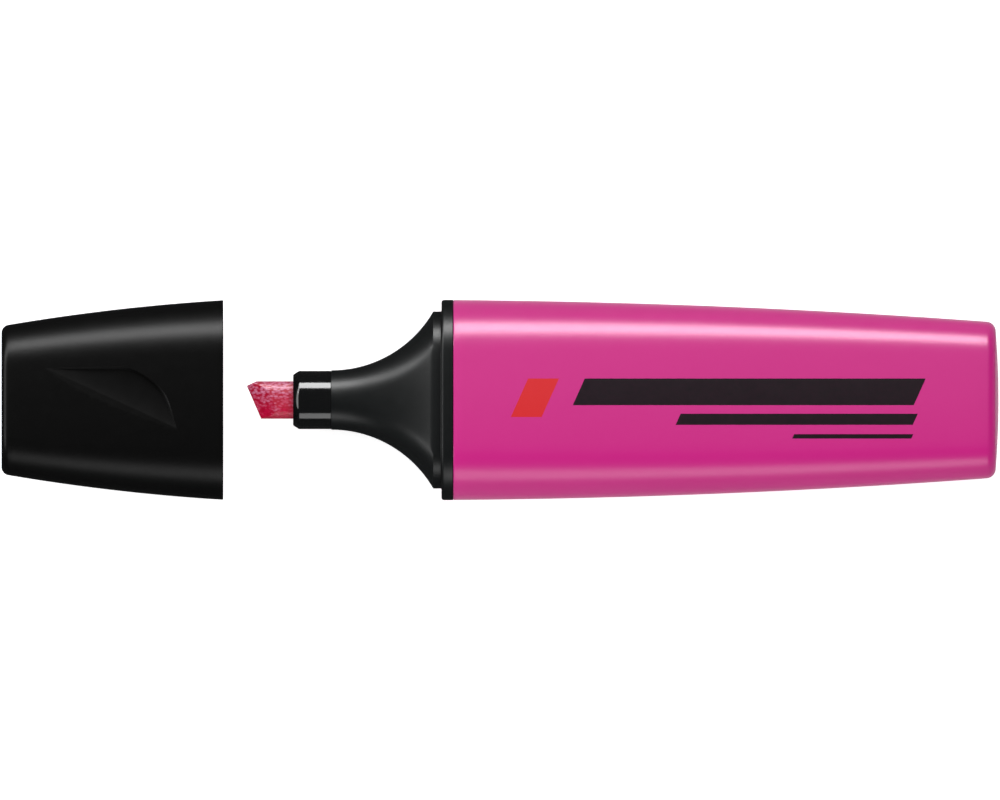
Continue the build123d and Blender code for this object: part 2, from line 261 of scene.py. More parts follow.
@dataclass(frozen=True)
class Bench:
    """Shapes pieces about the pen's axis with Blender's own mesh tools.

    Attributes:
        axis_height: The height of the pen's axis above the surface that the pen lies on.
    """

    axis_height: float

    @staticmethod
    def clear() -> None:
        """Deselects everything, so that the next tool acts only on what it is given."""
        if bpy.context.object is not None and bpy.context.object.mode != "OBJECT":
            bpy.ops.object.mode_set(mode="OBJECT")
        bpy.ops.object.select_all(action="DESELECT")

    @classmethod
    def take_up(cls, piece: bpy.types.Object) -> None:
        """Makes one piece the only one that is selected and active."""
        cls.clear()
        piece.select_set(True)
        bpy.context.view_layer.objects.active = piece

    @staticmethod
    def pick(piece: bpy.types.Object, wanted: Callable[[bmesh.types.BMVert], bool]) -> None:
        """Selects points in edit mode, with the edges and faces between them.

        Args:
            piece: The piece in edit mode.
            wanted: Says whether a point is picked.
        """
        bpy.ops.mesh.select_all(action="DESELECT")
        mesh = bmesh.from_edit_mesh(piece.data)
        mesh.verts.index_update()
        for point in mesh.verts:
            if wanted(point):
                point.select_set(True)
        mesh.select_flush(True)
        bmesh.update_edit_mesh(piece.data)

    @staticmethod
    def smooth(piece: bpy.types.Object, degrees: float = 30.0) -> None:
        """Shades a piece smooth, apart from edges sharper than an angle."""
        Bench.take_up(piece)
        bpy.ops.object.shade_smooth_by_angle(angle=math.radians(degrees))

    def draw_ring(self, ring: Ring, grain: Grain) -> bpy.types.Object:
        """Draws one ring by spinning a point round its arcs.

        Args:
            ring: The ring.
            grain: How finely it is divided.

        Returns:
            The ring as a closed wire.
        """
        start, arcs = ring.outline.arcs(grain)
        place = (ring.x, start.x, self.axis_height + start.y)
        self.clear()
        bpy.ops.mesh.primitive_plane_add(size=SPECK, location=place)
        wire = bpy.context.object
        bpy.ops.object.transform_apply(location=True, rotation=False, scale=False)
        bpy.ops.object.mode_set(mode="EDIT")
        bpy.ops.mesh.select_all(action="SELECT")
        bpy.ops.mesh.merge(type="CENTER")
        for arc in arcs:
            center = (ring.x, arc.y, self.axis_height + arc.z)
            bpy.ops.mesh.spin(steps=arc.steps, angle=-arc.sweep, center=center, axis=(1, 0, 0))
        bpy.ops.mesh.select_all(action="SELECT")
        bpy.ops.mesh.remove_doubles(threshold=WELD)
        bpy.ops.object.mode_set(mode="OBJECT")
        return wire

    def skin(
        self,
        name: str,
        rings: Sequence[Ring],
        grain: Grain = Grain(),
        joined_round: bool = False,
    ) -> bpy.types.Object:
        """Builds a closed skin through rings in order, as a turned or lofted piece is.

        Args:
            name: The piece's name.
            rings: The rings, from one end round to the other.
            grain: How finely each ring is divided.
            joined_round: True where the last ring meets the first, and False where both ends close.

        Returns:
            The piece, closed, with its faces pointing outwards.
        """
        wires = [self.draw_ring(ring, grain) for ring in parted(rings, joined_round)]
        piece = self.gather(wires[0], wires[1:])
        piece.name = name
        piece.data.name = name
        bpy.ops.object.mode_set(mode="EDIT")
        around = 2 * (grain.side + grain.face + 2 * grain.corner)
        pairs = [(index, index + 1) for index in range(len(rings) - 1)]
        if joined_round:
            pairs.append((len(rings) - 1, 0))
        for pair in pairs:
            self.pick(piece, lambda point: point.index // around in pair)
            bpy.ops.mesh.bridge_edge_loops()
        if not joined_round:
            for end in (0, len(rings) - 1):
                self.pick(piece, lambda point: point.index // around == end)
                bpy.ops.mesh.edge_face_add()
                bpy.ops.mesh.poke()
        bpy.ops.mesh.select_all(action="SELECT")
        bpy.ops.mesh.normals_make_consistent(inside=False)
        bpy.ops.object.mode_set(mode="OBJECT")
        self.smooth(piece)
        return piece

    def block(self, name: str, low: Sequence[float], high: Sequence[float]) -> bpy.types.Object:
        """A block between two corners, with its place in its mesh.

        Args:
            name: The block's name.
            low: Its lowest corner.
            high: Its highest corner.

        Returns:
            The block.
        """
        self.clear()
        middle = (Vector(low) + Vector(high)) / 2
        bpy.ops.mesh.primitive_cube_add(size=1, location=middle)
        block = bpy.context.object
        block.name = name
        block.scale = Vector(high) - Vector(low)
        bpy.ops.object.transform_apply(location=True, rotation=False, scale=True)
        return block

    def carve(self, piece: bpy.types.Object, tool: bpy.types.Object, cut: Cut) -> None:
        """Uses a tool on a piece, and clears the tool away.

        Args:
            piece: The piece that is shaped.
            tool: The tool, which is used up.
            cut: What the tool does.
        """
        modifier = piece.modifiers.new("carve", "BOOLEAN")
        modifier.object = tool
        modifier.operation = cut.value
        modifier.solver = "EXACT"
        self.take_up(piece)
        bpy.ops.object.modifier_apply(modifier=modifier.name)
        bpy.data.objects.remove(tool)

    def copy(self, piece: bpy.types.Object, name: str) -> bpy.types.Object:
        """A copy of a piece with its own mesh."""
        twin = piece.copy()
        twin.data = piece.data.copy()
        twin.name = name
        bpy.context.scene.collection.objects.link(twin)
        return twin

    def gather(self, piece: bpy.types.Object, others: Iterable[bpy.types.Object]) -> bpy.types.Object:
        """Joins other closed shapes into a piece, and keeps its name."""
        self.take_up(piece)
        for other in others:
            other.select_set(True)
        bpy.ops.object.join()
        return piece

    def slice(self, piece: bpy.types.Object, point: Sequence[float], normal: Sequence[float]) -> None:
        """Cuts a piece along a plane, drops what lies beyond it and closes the cut.

        Args:
            piece: The piece that is cut.
            point: A point on the plane.
            normal: The direction in which everything goes.
        """
        self.take_up(piece)
        bpy.ops.object.mode_set(mode="EDIT")
        bpy.ops.mesh.select_all(action="SELECT")
        bpy.ops.mesh.bisect(
            plane_co=point, plane_no=normal, use_fill=True, clear_outer=True, threshold=WELD / 10
        )
        bpy.ops.object.mode_set(mode="OBJECT")

    def soften(self, piece: bpy.types.Object, width: float, segments: int, degrees: float) -> None:
        """Rounds a piece's edges that are sharper than an angle.

        Args:
            piece: The piece that is rounded.
            width: How far the rounding reaches from each edge.
            segments: How many faces it has across.
            degrees: The angle past which an edge is rounded.
        """
        modifier = piece.modifiers.new("soften", "BEVEL")
        modifier.width = width
        modifier.segments = segments
        modifier.limit_method = "ANGLE"
        modifier.angle_limit = math.radians(degrees)
        self.take_up(piece)
        bpy.ops.object.modifier_apply(modifier=modifier.name)


def rounded_edge(
    form: Callable[[float, float], Ring], run: float, radius: float, inward: int, steps: int = 5
) -> list[Ring]:
    """Rings round an outer edge of a form, from its end face to its side.

    Args:
        form: Gives the form's ring at a run and an inset.
        run: Where the end face is.
        radius: The edge's radius.
        inward: 1 where the form lies at longer runs than the end face, -1 where it lies at shorter ones.
        steps: How many rings.

    Returns:
        The rings.
    """
    rings = []
    for turn in steps_between(0.0, math.pi / 2, steps):
        depth = radius * (1 - math.sin(turn))
        back = radius * (1 - math.cos(turn))
        rings.append(form(run + inward * back, depth))
    return rings


# Materials


class Term:
    """A value that runs through a material's nodes, and goes into sums as a number does."""

    def __init__(self, tree: bpy.types.NodeTree, socket: bpy.types.NodeSocket) -> None:
        """Wraps a node's output.

        Args:
            tree: The material's nodes.
            socket: The output that gives the value.
        """
        self.tree = tree
        self.socket = socket

    def _sum(self, operation: str, *values: Union["Term", float]) -> "Term":
        """Adds a Math node that works on values in order, and returns what it gives."""
        node = self.tree.nodes.new("ShaderNodeMath")
        node.operation = operation
        for socket, value in zip(node.inputs, values):
            if isinstance(value, Term):
                self.tree.links.new(value.socket, socket)
            else:
                socket.default_value = value
        return Term(self.tree, node.outputs[0])

    def __add__(self, other: Union["Term", float]) -> "Term":
        """This plus another."""
        return self._sum("ADD", self, other)

    def __radd__(self, other: float) -> "Term":
        """Another plus this."""
        return self._sum("ADD", other, self)

    def __sub__(self, other: Union["Term", float]) -> "Term":
        """This less another."""
        return self._sum("SUBTRACT", self, other)

    def __rsub__(self, other: float) -> "Term":
        """Another less this."""
        return self._sum("SUBTRACT", other, self)

    def __mul__(self, other: Union["Term", float]) -> "Term":
        """This times another."""
        return self._sum("MULTIPLY", self, other)

    def __rmul__(self, other: float) -> "Term":
        """Another times this."""
        return self._sum("MULTIPLY", other, self)

    def __pow__(self, other: float) -> "Term":
        """This to a power."""
        return self._sum("POWER", self, other)

    def __abs__(self) -> "Term":
        """This without its sign."""
        return self._sum("ABSOLUTE", self)

    def greater(self, other: Union["Term", float]) -> "Term":
        """1 where this is greater than another, and 0 elsewhere."""
        return self._sum("GREATER_THAN", self, other)

    def larger(self, other: Union["Term", float]) -> "Term":
        """The larger of this and another."""
        return self._sum("MAXIMUM", self, other)


Value = Union[Term, float, Sequence[float]]


class Recipe:
    """One material and the nodes that it is made of."""

    def __init__(self, name: str) -> None:
        """Starts an empty material.

        Args:
            name: The material's name.
        """
        self.material = bpy.data.materials.new(name)
        self.material.use_nodes = True
        self.tree = self.material.node_tree
        self.tree.nodes.clear()

    def node(
        self,
        kind: str,
        settings: Optional[dict[str, Any]] = None,
        inputs: Optional[dict[Union[str, int], Value]] = None,
        output: Union[str, int] = 0,
    ) -> Term:
        """Adds a node.

        Args:
            kind: The node's type.
            settings: Its settings, which are set before its sockets. A ramp's stops go under "stops".
            inputs: Values or links for its sockets, by name or number.
            output: The output that is returned.

        Returns:
            The chosen output.
        """
        node = self.tree.nodes.new(kind)
        for setting, value in (settings or {}).items():
            if setting == "stops":
                self._set_stops(node.color_ramp, value)
            else:
                setattr(node, setting, value)
        for name, value in (inputs or {}).items():
            if isinstance(value, Term):
                self.tree.links.new(value.socket, node.inputs[name])
            else:
                node.inputs[name].default_value = value
        if not node.outputs:
            return Term(self.tree, node.inputs[0])
        return Term(self.tree, node.outputs[output])

    @staticmethod
    def _set_stops(ramp: bpy.types.ColorRamp, stops: Sequence[tuple[float, Sequence[float]]]) -> None:
        """Gives a ramp its stops, as pairs of place and colour."""
        while len(ramp.elements) < len(stops):
            ramp.elements.new(1.0)
        for element, (place, colour) in zip(ramp.elements, stops):
            element.position = place
            element.color = colour

    def place(self, scale: Sequence[float] = (1, 1, 1), middle: Sequence[float] = (0, 0, 0)) -> Term:
        """Object coordinates, measured from a middle and stretched.

        Args:
            scale: How much each direction is stretched.
            middle: The point that becomes the pattern's own middle.

        Returns:
            The coordinates.
        """
        coordinates = self.node("ShaderNodeTexCoord", output="Object")
        shift = tuple(-part * factor for part, factor in zip(middle, scale))
        inputs = {"Vector": coordinates, "Location": shift, "Scale": tuple(scale)}
        return self.node("ShaderNodeMapping", {"vector_type": "POINT"}, inputs)

    def along(self, vector: Term, axis: str) -> Term:
        """One part of a vector: X, Y or Z."""
        return self.node("ShaderNodeSeparateXYZ", inputs={"Vector": vector}, output=axis)

    def noise(self, vector: Term, size: float, detail: float = 2.0, roughness: float = 0.5) -> Term:
        """Cloudy noise from 0 to 1.

        Args:
            vector: The coordinates that it follows.
            size: The size of its blotches, in metres.
            detail: How many finer layers it has.
            roughness: How strong the finer layers are.

        Returns:
            The noise.
        """
        inputs = {"Vector": vector, "Scale": 1 / size, "Detail": detail, "Roughness": roughness}
        return self.node("ShaderNodeTexNoise", inputs=inputs)

    def mix(self, share: Value, first: Value, second: Value) -> Term:
        """A colour between two others.

        Args:
            share: 0 for the first and 1 for the second.
            first: The first colour.
            second: The second colour.

        Returns:
            The mixed colour.
        """
        factor, colour_a, colour_b, colour_out = 0, 6, 7, 2
        inputs = {factor: share, colour_a: first, colour_b: second}
        return self.node("ShaderNodeMix", {"data_type": "RGBA"}, inputs, colour_out)

    def bump(self, height: Term, depth: float, strength: float = 1.0, under: Optional[Term] = None) -> Term:
        """A bumpy surface's normal.

        Args:
            height: The relief, from 0 to 1.
            depth: How deep the relief is, in metres.
            strength: How much of it shows.
            under: A coarser relief that this one lies on.

        Returns:
            The normal.
        """
        inputs: dict[Union[str, int], Value] = {"Height": height, "Distance": depth, "Strength": strength}
        if under is not None:
            inputs["Normal"] = under
        return self.node("ShaderNodeBump", inputs=inputs)

    def finish(self, inputs: dict[Union[str, int], Value]) -> bpy.types.Material:
        """Ends the material in a plain surface shader.

        Args:
            inputs: Values or links for the shader's sockets.

        Returns:
            The material.
        """
        shader = self.node("ShaderNodeBsdfPrincipled", inputs=inputs)
        self.node("ShaderNodeOutputMaterial", inputs={"Surface": shader})
        return self.material


Colour = tuple[float, float, float, float]


@dataclass(frozen=True)
class MouldedPlastic:
    """Injection-moulded plastic: nearly even colour, a fine spark-eroded grain and faint flow marks.

    Attributes:
        name: The finish's name.
        colour: Its main colour.
        cloud: The colour of its faint clouds.
        roughness: How dull it is.
        grain_depth: How deep its grain is.
        grain_size: How far apart the grain's bumps are.
        wave_depth: How deep its slow waves are, from shrinkage in the mould.
        shine: How strongly it mirrors light.
        bloom: How much light it scatters at its edges.
    """

    name: str
    colour: Colour
    cloud: Colour
    roughness: float
    grain_depth: float = 0.002 * MM
    grain_size: float = 0.22 * MM
    wave_depth: float = 0.004 * MM
    shine: float = 0.5
    bloom: float = 0.0

    def base(self, recipe: Recipe) -> Term:
        """The plastic's colour, with its faint clouds drawn out along the flow."""
        flow = recipe.place(scale=(0.45, 1, 1))
        clouds = recipe.noise(flow, 7 * MM, detail=4)
        specks = recipe.noise(recipe.place(), 0.5 * MM, detail=2)
        return recipe.mix(clouds * 0.75 + specks * 0.25, self.colour, self.cloud)

    def surface(self, recipe: Recipe) -> tuple[Term, Term]:
        """The plastic's roughness and normal.

        Args:
            recipe: The material being made.

        Returns:
            The roughness and the normal.
        """
        spots = recipe.noise(recipe.place(), 1.6 * MM, detail=5, roughness=0.6)
        roughness = spots * 0.08 + (self.roughness - 0.04)
        waves = recipe.noise(recipe.place(scale=(0.5, 1, 1)), 9 * MM, detail=1)
        slow = recipe.bump(waves, self.wave_depth)
        grain = recipe.noise(recipe.place(), self.grain_size, detail=2)
        return roughness, recipe.bump(grain, self.grain_depth, under=slow)

    def material(self) -> bpy.types.Material:
        """Makes the material."""
        recipe = Recipe(self.name)
        roughness, normal = self.surface(recipe)
        return self.end(recipe, self.base(recipe), roughness, normal)

    def end(self, recipe: Recipe, colour: Term, roughness: Term, normal: Term) -> bpy.types.Material:
        """Ends the material in its shader.

        Args:
            recipe: The material being made.
            colour: Its colour.
            roughness: Its roughness.
            normal: Its normal.

        Returns:
            The material.
        """
        inputs: dict[Union[str, int], Value] = {
            "Base Color": colour,
            "Roughness": roughness,
            "Normal": normal,
            "Specular IOR Level": self.shine,
            "Sheen Weight": self.bloom,
            "Sheen Roughness": 0.35,
        }
        return recipe.finish(inputs)


@dataclass(frozen=True)
class Stroke:
    """A printed stroke with slanting ends.

    Attributes:
        start: Where its middle line starts along the pen.
        end: Where its middle line ends.
        middle: How far its middle line lies to the +Y side of the pen's axis.
        width: How wide it is.
        ink: Its colour.
        lean: How far its ends lean towards the tail for each unit of width.
    """

    start: float
    end: float
    middle: float
    width: float
    ink: Colour
    lean: float = 0.45

    def mask(self, recipe: Recipe, x: Term, y: Term) -> Term:
        """1 on the stroke and 0 off it.

        Args:
            recipe: The material being made.
            x: The place along the pen.
            y: The place across it.

        Returns:
            The mask.
        """
        offset = y - self.middle
        leaning = x - offset * self.lean
        edge = recipe.noise(recipe.place(), 0.4 * MM, detail=1) * (0.03 * MM)
        inside_width = (self.width / 2 + 0.015 * MM - abs(offset)).greater(edge)
        halfway = (self.start + self.end) / 2
        inside_length = ((self.end - self.start) / 2 - abs(leaning - halfway)).greater(edge)
        return inside_width * inside_length


@dataclass(frozen=True)
class PrintedPlastic(MouldedPlastic):
    """Moulded plastic with screen-printed strokes on its upper face.

    Attributes:
        strokes: The strokes, which stand for lines that the pen draws.
        print_height: The height above which the print lies.
    """

    strokes: tuple[Stroke, ...] = ()
    print_height: float = 0.0

    def material(self) -> bpy.types.Material:
        """Makes the material, with its ink a little duller than the plastic."""
        recipe = Recipe(self.name)
        place = recipe.place()
        x = recipe.along(place, "X")
        y = recipe.along(place, "Y")
        upper = recipe.along(place, "Z").greater(self.print_height)
        colour = self.base(recipe)
        roughness, normal = self.surface(recipe)
        printed: Optional[Term] = None
        for stroke in self.strokes:
            mask = stroke.mask(recipe, x, y) * upper
            thin = recipe.noise(recipe.place(), 0.6 * MM, detail=3)
            ink = recipe.mix(thin * 0.02, stroke.ink, self.colour)
            colour = recipe.mix(mask, colour, ink)
            printed = mask if printed is None else printed.larger(mask)
        if printed is not None:
            roughness = roughness + printed * 0.08
        return self.end(recipe, colour, roughness, normal)


@dataclass(frozen=True)
class PorousFibre:
    """A bonded-fibre nib soaked with ink: open pores between bundles of fibres that run along it.

    Attributes:
        name: The finish's name.
        soaked: The colour where ink stands in the fibres.
        dry_and_lit: The colour of the paler, worn fibres; the same colour is also painted towards the nib's
            +Y side as a painted highlight.
        pore_shade_colour: The darker colour painted inside a pore as painted shade.
        pore_size: How far apart the pores are.
    """

    name: str
    soaked: Colour
    dry_and_lit: Colour
    pore_shade_colour: Colour
    pore_size: float = 0.32 * MM

    def material(self) -> bpy.types.Material:
        """Makes the material."""
        recipe = Recipe(self.name)
        drawn_out = recipe.place(scale=(0.6, 1, 1))
        fibres = recipe.noise(recipe.place(scale=(0.25, 1, 1)), 0.18 * MM, detail=3)
        cell_inputs = {"Vector": drawn_out, "Scale": 1 / self.pore_size, "Randomness": 1.0}
        cells = recipe.node("ShaderNodeTexVoronoi", {"feature": "F1"}, cell_inputs, "Distance")
        blotches = recipe.noise(recipe.place(), 1.4 * MM, detail=4)
        stops = [(0.38, (0, 0, 0, 1)), (0.66, (1, 1, 1, 1))]
        # painted highlight: the Y place is added to the ramp's share, so the nib is painted paler towards
        # its +Y side, where the key light falls
        across = recipe.along(recipe.place(), "Y") * (0.07 / MM)
        rubbed_and_lit_inputs = {"Fac": fibres * 0.5 + blotches * 0.5 + across}
        rubbed_and_lit_share = recipe.node("ShaderNodeValToRGB", {"stops": stops}, rubbed_and_lit_inputs)
        colour = recipe.mix(rubbed_and_lit_share, self.soaked, self.dry_and_lit)
        # painted shade: the pits of the pore relief are painted darker
        deep = (cells * 1.6) ** 3
        colour = recipe.mix((deep * 0.8).larger(0.0), colour, self.pore_shade_colour)
        relief = recipe.bump(1 - cells, 0.05 * MM, 0.8)
        normal = recipe.bump(fibres, 0.03 * MM, 0.7, under=relief)
        roughness = 0.28 + blotches * 0.25
        return recipe.finish({"Base Color": colour, "Roughness": roughness, "Normal": normal})


@dataclass(frozen=True)
class BundledFibre:
    """The reservoir's core: fine fibres laid side by side along it, holding ink unevenly.

    Attributes:
        name: The finish's name.
        wet: The colour where it is full of ink.
        spare: The colour where it holds less.
    """

    name: str
    wet: Colour
    spare: Colour

    def material(self) -> bpy.types.Material:
        """Makes the material."""
        recipe = Recipe(self.name)
        strands = recipe.noise(recipe.place(scale=(0.04, 1, 1)), 0.16 * MM, detail=3)
        ink = recipe.noise(recipe.place(scale=(0.4, 1, 1)), 6 * MM, detail=3)
        colour = recipe.mix(strands * 0.4 + ink * 0.5, self.wet, self.spare)
        normal = recipe.bump(strands, 0.05 * MM, 0.8)
        return recipe.finish({"Base Color": colour, "Roughness": 0.55 + strands * 0.3, "Normal": normal})


@dataclass(frozen=True)
class WrappedFilm:
    """The reservoir's film: clear plastic over inky fibre, with faint wrinkles along it.

    Attributes:
        name: The finish's name.
        tint: The colour that shows through it.
        pale: The colour where it stands off the fibre.
    """

    name: str
    tint: Colour
    pale: Colour

    def material(self) -> bpy.types.Material:
        """Makes the material."""
        recipe = Recipe(self.name)
        wrinkles = recipe.noise(recipe.place(scale=(0.15, 1, 1)), 1.2 * MM, detail=3)
        colour = recipe.mix(wrinkles, self.tint, self.pale)
        normal = recipe.bump(wrinkles, 0.05 * MM, 0.6)
        return recipe.finish({"Base Color": colour, "Roughness": 0.12 + wrinkles * 0.12, "Normal": normal})


@dataclass(frozen=True)
class PaleFloor:
    """A plain pale floor, lit from within a little, as a light table is.

    Attributes:
        name: The finish's name.
        colour: Its colour.
        glow: How brightly it shines of itself.
    """

    name: str
    colour: Colour
    glow: float

    def material(self) -> bpy.types.Material:
        """Makes the material."""
        recipe = Recipe(self.name)
        faint = recipe.noise(recipe.place(), 0.4, detail=2)
        colour = recipe.mix(faint * 0.02, self.colour, (1, 1, 1, 1))
        inputs = {
            "Base Color": colour,
            "Roughness": 0.9,
            "Specular IOR Level": 0.0,
            "Emission Color": self.colour,
            "Emission Strength": self.glow,
        }
        return recipe.finish(inputs)


PINK = (0.600, 0.0165, 0.2300, 1)
PINK_CLOUD = (0.570, 0.0145, 0.2140, 1)
BLACK_INK = (0.0045, 0.0032, 0.0050, 1)
RED_INK = (0.640, 0.0060, 0.0080, 1)
CAP_BLACK = (0.0016, 0.0016, 0.0016, 1)
CAP_CLOUD = (0.0026, 0.0026, 0.0025, 1)
FRONT_BLACK = (0.0042, 0.0050, 0.0051, 1)
FRONT_CLOUD = (0.0058, 0.0066, 0.0068, 1)
FERRULE_BLACK = (0.0036, 0.0038, 0.0040, 1)
FERRULE_CLOUD = (0.0075, 0.0078, 0.0082, 1)
SEAL_WHITE = (0.62, 0.63, 0.62, 1)
SEAL_CLOUD = (0.55, 0.56, 0.55, 1)
NIB_SOAKED = (0.600, 0.0012, 0.0520, 1)
# paler fibre colour: worn fibres, and a painted highlight on the nib's +Y side
NIB_DRY_AND_LIT = (0.760, 0.2400, 0.4000, 1)
# darker colour painted into the nib's pores as painted shade
NIB_PORE_SHADE = (0.500, 0.0010, 0.0340, 1)
CORE_WET = (0.620, 0.0100, 0.1500, 1)
CORE_SPARE = (0.800, 0.2200, 0.4500, 1)
FILM_TINT = (0.640, 0.0400, 0.2200, 1)
FILM_PALE = (0.780, 0.2500, 0.4800, 1)
FLOOR_WHITE = (0.90, 0.90, 0.90, 1)


# The pen's own forms, read from the frame


@dataclass(frozen=True)
class Forms:
    """The forms that several pieces share, placed by the frame.

    Attributes:
        x_collar: The collar's front face.
        x_mouth: The cap's mouth.
        x_cap_end: The cap's closed end.
        axis_height: The pen's axis above the surface that it lies on.
        body: The outer form of the collar and barrel, from the collar's front face.
        cap: The outer form of the cap, from its mouth.
    """

    x_collar: float
    x_mouth: float
    x_cap_end: float
    axis_height: float
    body: Moulding
    cap: Moulding

    @classmethod
    def from_frame(cls) -> "Forms":
        """Reads the places from the frame's own boxes."""
        barrel_low, barrel_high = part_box("barrel")
        cap_low, cap_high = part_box("cap_shell")
        collar_length = 1.6 * MM
        x_collar = barrel_low.x - collar_length
        body = Moulding(
            x=x_collar,
            direction=1,
            length=barrel_high.x - x_collar,
            width=(27.0 * MM, 20.92 * MM),
            width_swell=1.3 * MM,
            thickness=(17.0 * MM, 14.4 * MM),
            thickness_swell=0.6 * MM,
            side_flat=(2.0 * MM, 4.8 * MM),
        )
        cap = Moulding(
            x=cap_high.x,
            direction=-1,
            length=cap_high.x - cap_low.x,
            width=(26.92 * MM, 19.96 * MM),
            width_swell=0.83 * MM,
            thickness=(16.92 * MM, 13.0 * MM),
            thickness_swell=0.42 * MM,
            side_flat=(2.1 * MM, 1.8 * MM),
        )
        axis_height = (barrel_low.z + barrel_high.z) / 2
        return cls(x_collar, cap_high.x, cap_low.x, axis_height, body, cap)


def dress(
    piece: bpy.types.Object, finish: bpy.types.Material, body: Body, node: str
) -> bpy.types.Object:
    """Gives a piece its material and its place in the frame.

    Args:
        piece: The finished mesh.
        finish: Its material.
        body: The body that it rides on.
        node: The CAD node that it stands for.

    Returns:
        The piece.
    """
    piece.data.materials.clear()
    piece.data.materials.append(finish)
    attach(piece, body.value)
    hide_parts(node)
    triangles = sum(len(face.vertices) - 2 for face in piece.data.polygons)
    log.info("%s rides on %s, with %d triangles", piece.name, body.value, triangles)
    return piece


# The pen's pieces


@dataclass(frozen=True)
class Barrel:
    """The pink barrel: a closed-ended shell with a snap groove and the ribs that centre the reservoir.

    Attributes:
        forms: The shared forms.
        bench: The tools.
        mouth: Its mouth, behind the collar's front face.
        wall: Its wall's thickness.
        floor: The thickness of its closed end.
        dome: How far the middle of its end stands proud of the edge.
        tail_edge: The radius round its end.
        mouth_edge: The radius at its mouth.
        groove: Where the snap groove is, how long and how deep.
        rib: The ribs' thickness, and how far the two upright ones stand from the axis.
        rib_start: Where the ribs start, behind the collar's front face.
        room: The width, thickness and corner radius of the reservoir's room.
        room_end: Where the reservoir's room ends.
    """

    forms: Forms
    bench: Bench
    mouth: float = 1.6 * MM
    wall: float = 1.2 * MM
    floor: float = 1.5 * MM
    dome: float = 0.36 * MM
    tail_edge: float = 1.2 * MM
    mouth_edge: float = 0.15 * MM
    groove: tuple[float, float, float] = (6.1 * MM, 1.2 * MM, 0.25 * MM)
    rib: tuple[float, float] = (0.9 * MM, 5.0 * MM)
    rib_start: float = 12.0 * MM
    room: tuple[float, float, float] = (17.42 * MM, 10.96 * MM, 4.88 * MM)
    room_end: float = 66.06 * MM

    def rings(self) -> list[Ring]:
        """The rings from the middle of the tail, over the outside, and through the mouth to the floor."""
        body = self.forms.body
        end = body.length - self.dome
        end_outline = body.outline(end, self.tail_edge)
        rings = []
        for share in (0.03, 0.15, 0.3, 0.45, 0.6, 0.72, 0.84, 0.93):
            rings.append(Ring(body.x + end + self.dome * (1 - share**2), end_outline.shrunk(share)))
        rings += rounded_edge(body.ring, end, self.tail_edge, -1, steps=9)
        for station in steps_between(end - self.tail_edge - 1.5 * MM, self.mouth + 1.5 * MM, 44):
            rings.append(body.ring(station))
        rings += reversed(rounded_edge(body.ring, self.mouth, self.mouth_edge, 1, steps=4))
        place, length, depth = self.groove
        inner = [self.mouth, place - length / 2, place, place + length / 2]
        insets = [self.wall, self.wall, self.wall - depth, self.wall]
        inner_end = body.length - self.floor
        for station in steps_between(place + length, inner_end, 9):
            inner.append(station)
            insets.append(self.wall)
        rings += [body.ring(station, inset) for station, inset in zip(inner, insets)]
        floor_outline = body.outline(inner_end, self.wall)
        rings += [Ring(body.x + inner_end, floor_outline.shrunk(share)) for share in (0.7, 0.35, 0.04)]
        return rings

    def ribs(self) -> list[bpy.types.Object]:
        """Makes the upright and level ribs, cut to the barrel's inside and round the reservoir's room."""
        body = self.forms.body
        height = self.forms.axis_height
        thick, apart = self.rib
        start = body.x + self.rib_start
        stop = body.x + body.length - self.floor / 2
        tall = body.thickness[0] / 2
        wide = body.width[0] / 2
        spans = (
            ((start, apart - thick / 2, height - tall), (stop, apart + thick / 2, height + tall)),
            ((start, -apart - thick / 2, height - tall), (stop, -apart + thick / 2, height + tall)),
            ((start, -wide, height - thick / 2), (stop, wide, height + thick / 2)),
        )
        ribs = self.bench.block("ribs", *spans[0])
        for low, high in spans[1:]:
            self.bench.carve(ribs, self.bench.block("rib", low, high), Cut.WELD_ON)
        reach = [
            body.ring(station, self.wall / 2)
            for station in steps_between(self.rib_start - PAST_THE_EDGE, body.length, 7)
        ]
        self.bench.carve(ribs, self.bench.skin("reach", reach), Cut.KEEP_INSIDE)
        outline = Outline.bar(*self.room)
        room = [Ring(start - PAST_THE_EDGE, outline), Ring(body.x + self.room_end, outline)]
        self.bench.carve(ribs, self.bench.skin("room", room), Cut.TAKE_AWAY)
        return [ribs]

    def build(self, finish: bpy.types.Material) -> bpy.types.Object:
        """Builds the barrel and gives it its finish."""
        shell = self.bench.skin("Barrel", self.rings(), Grain(5, 14, 14))
        self.bench.gather(shell, self.ribs())
        self.bench.smooth(shell)
        return dress(shell, finish, Body.PEN, "barrel")


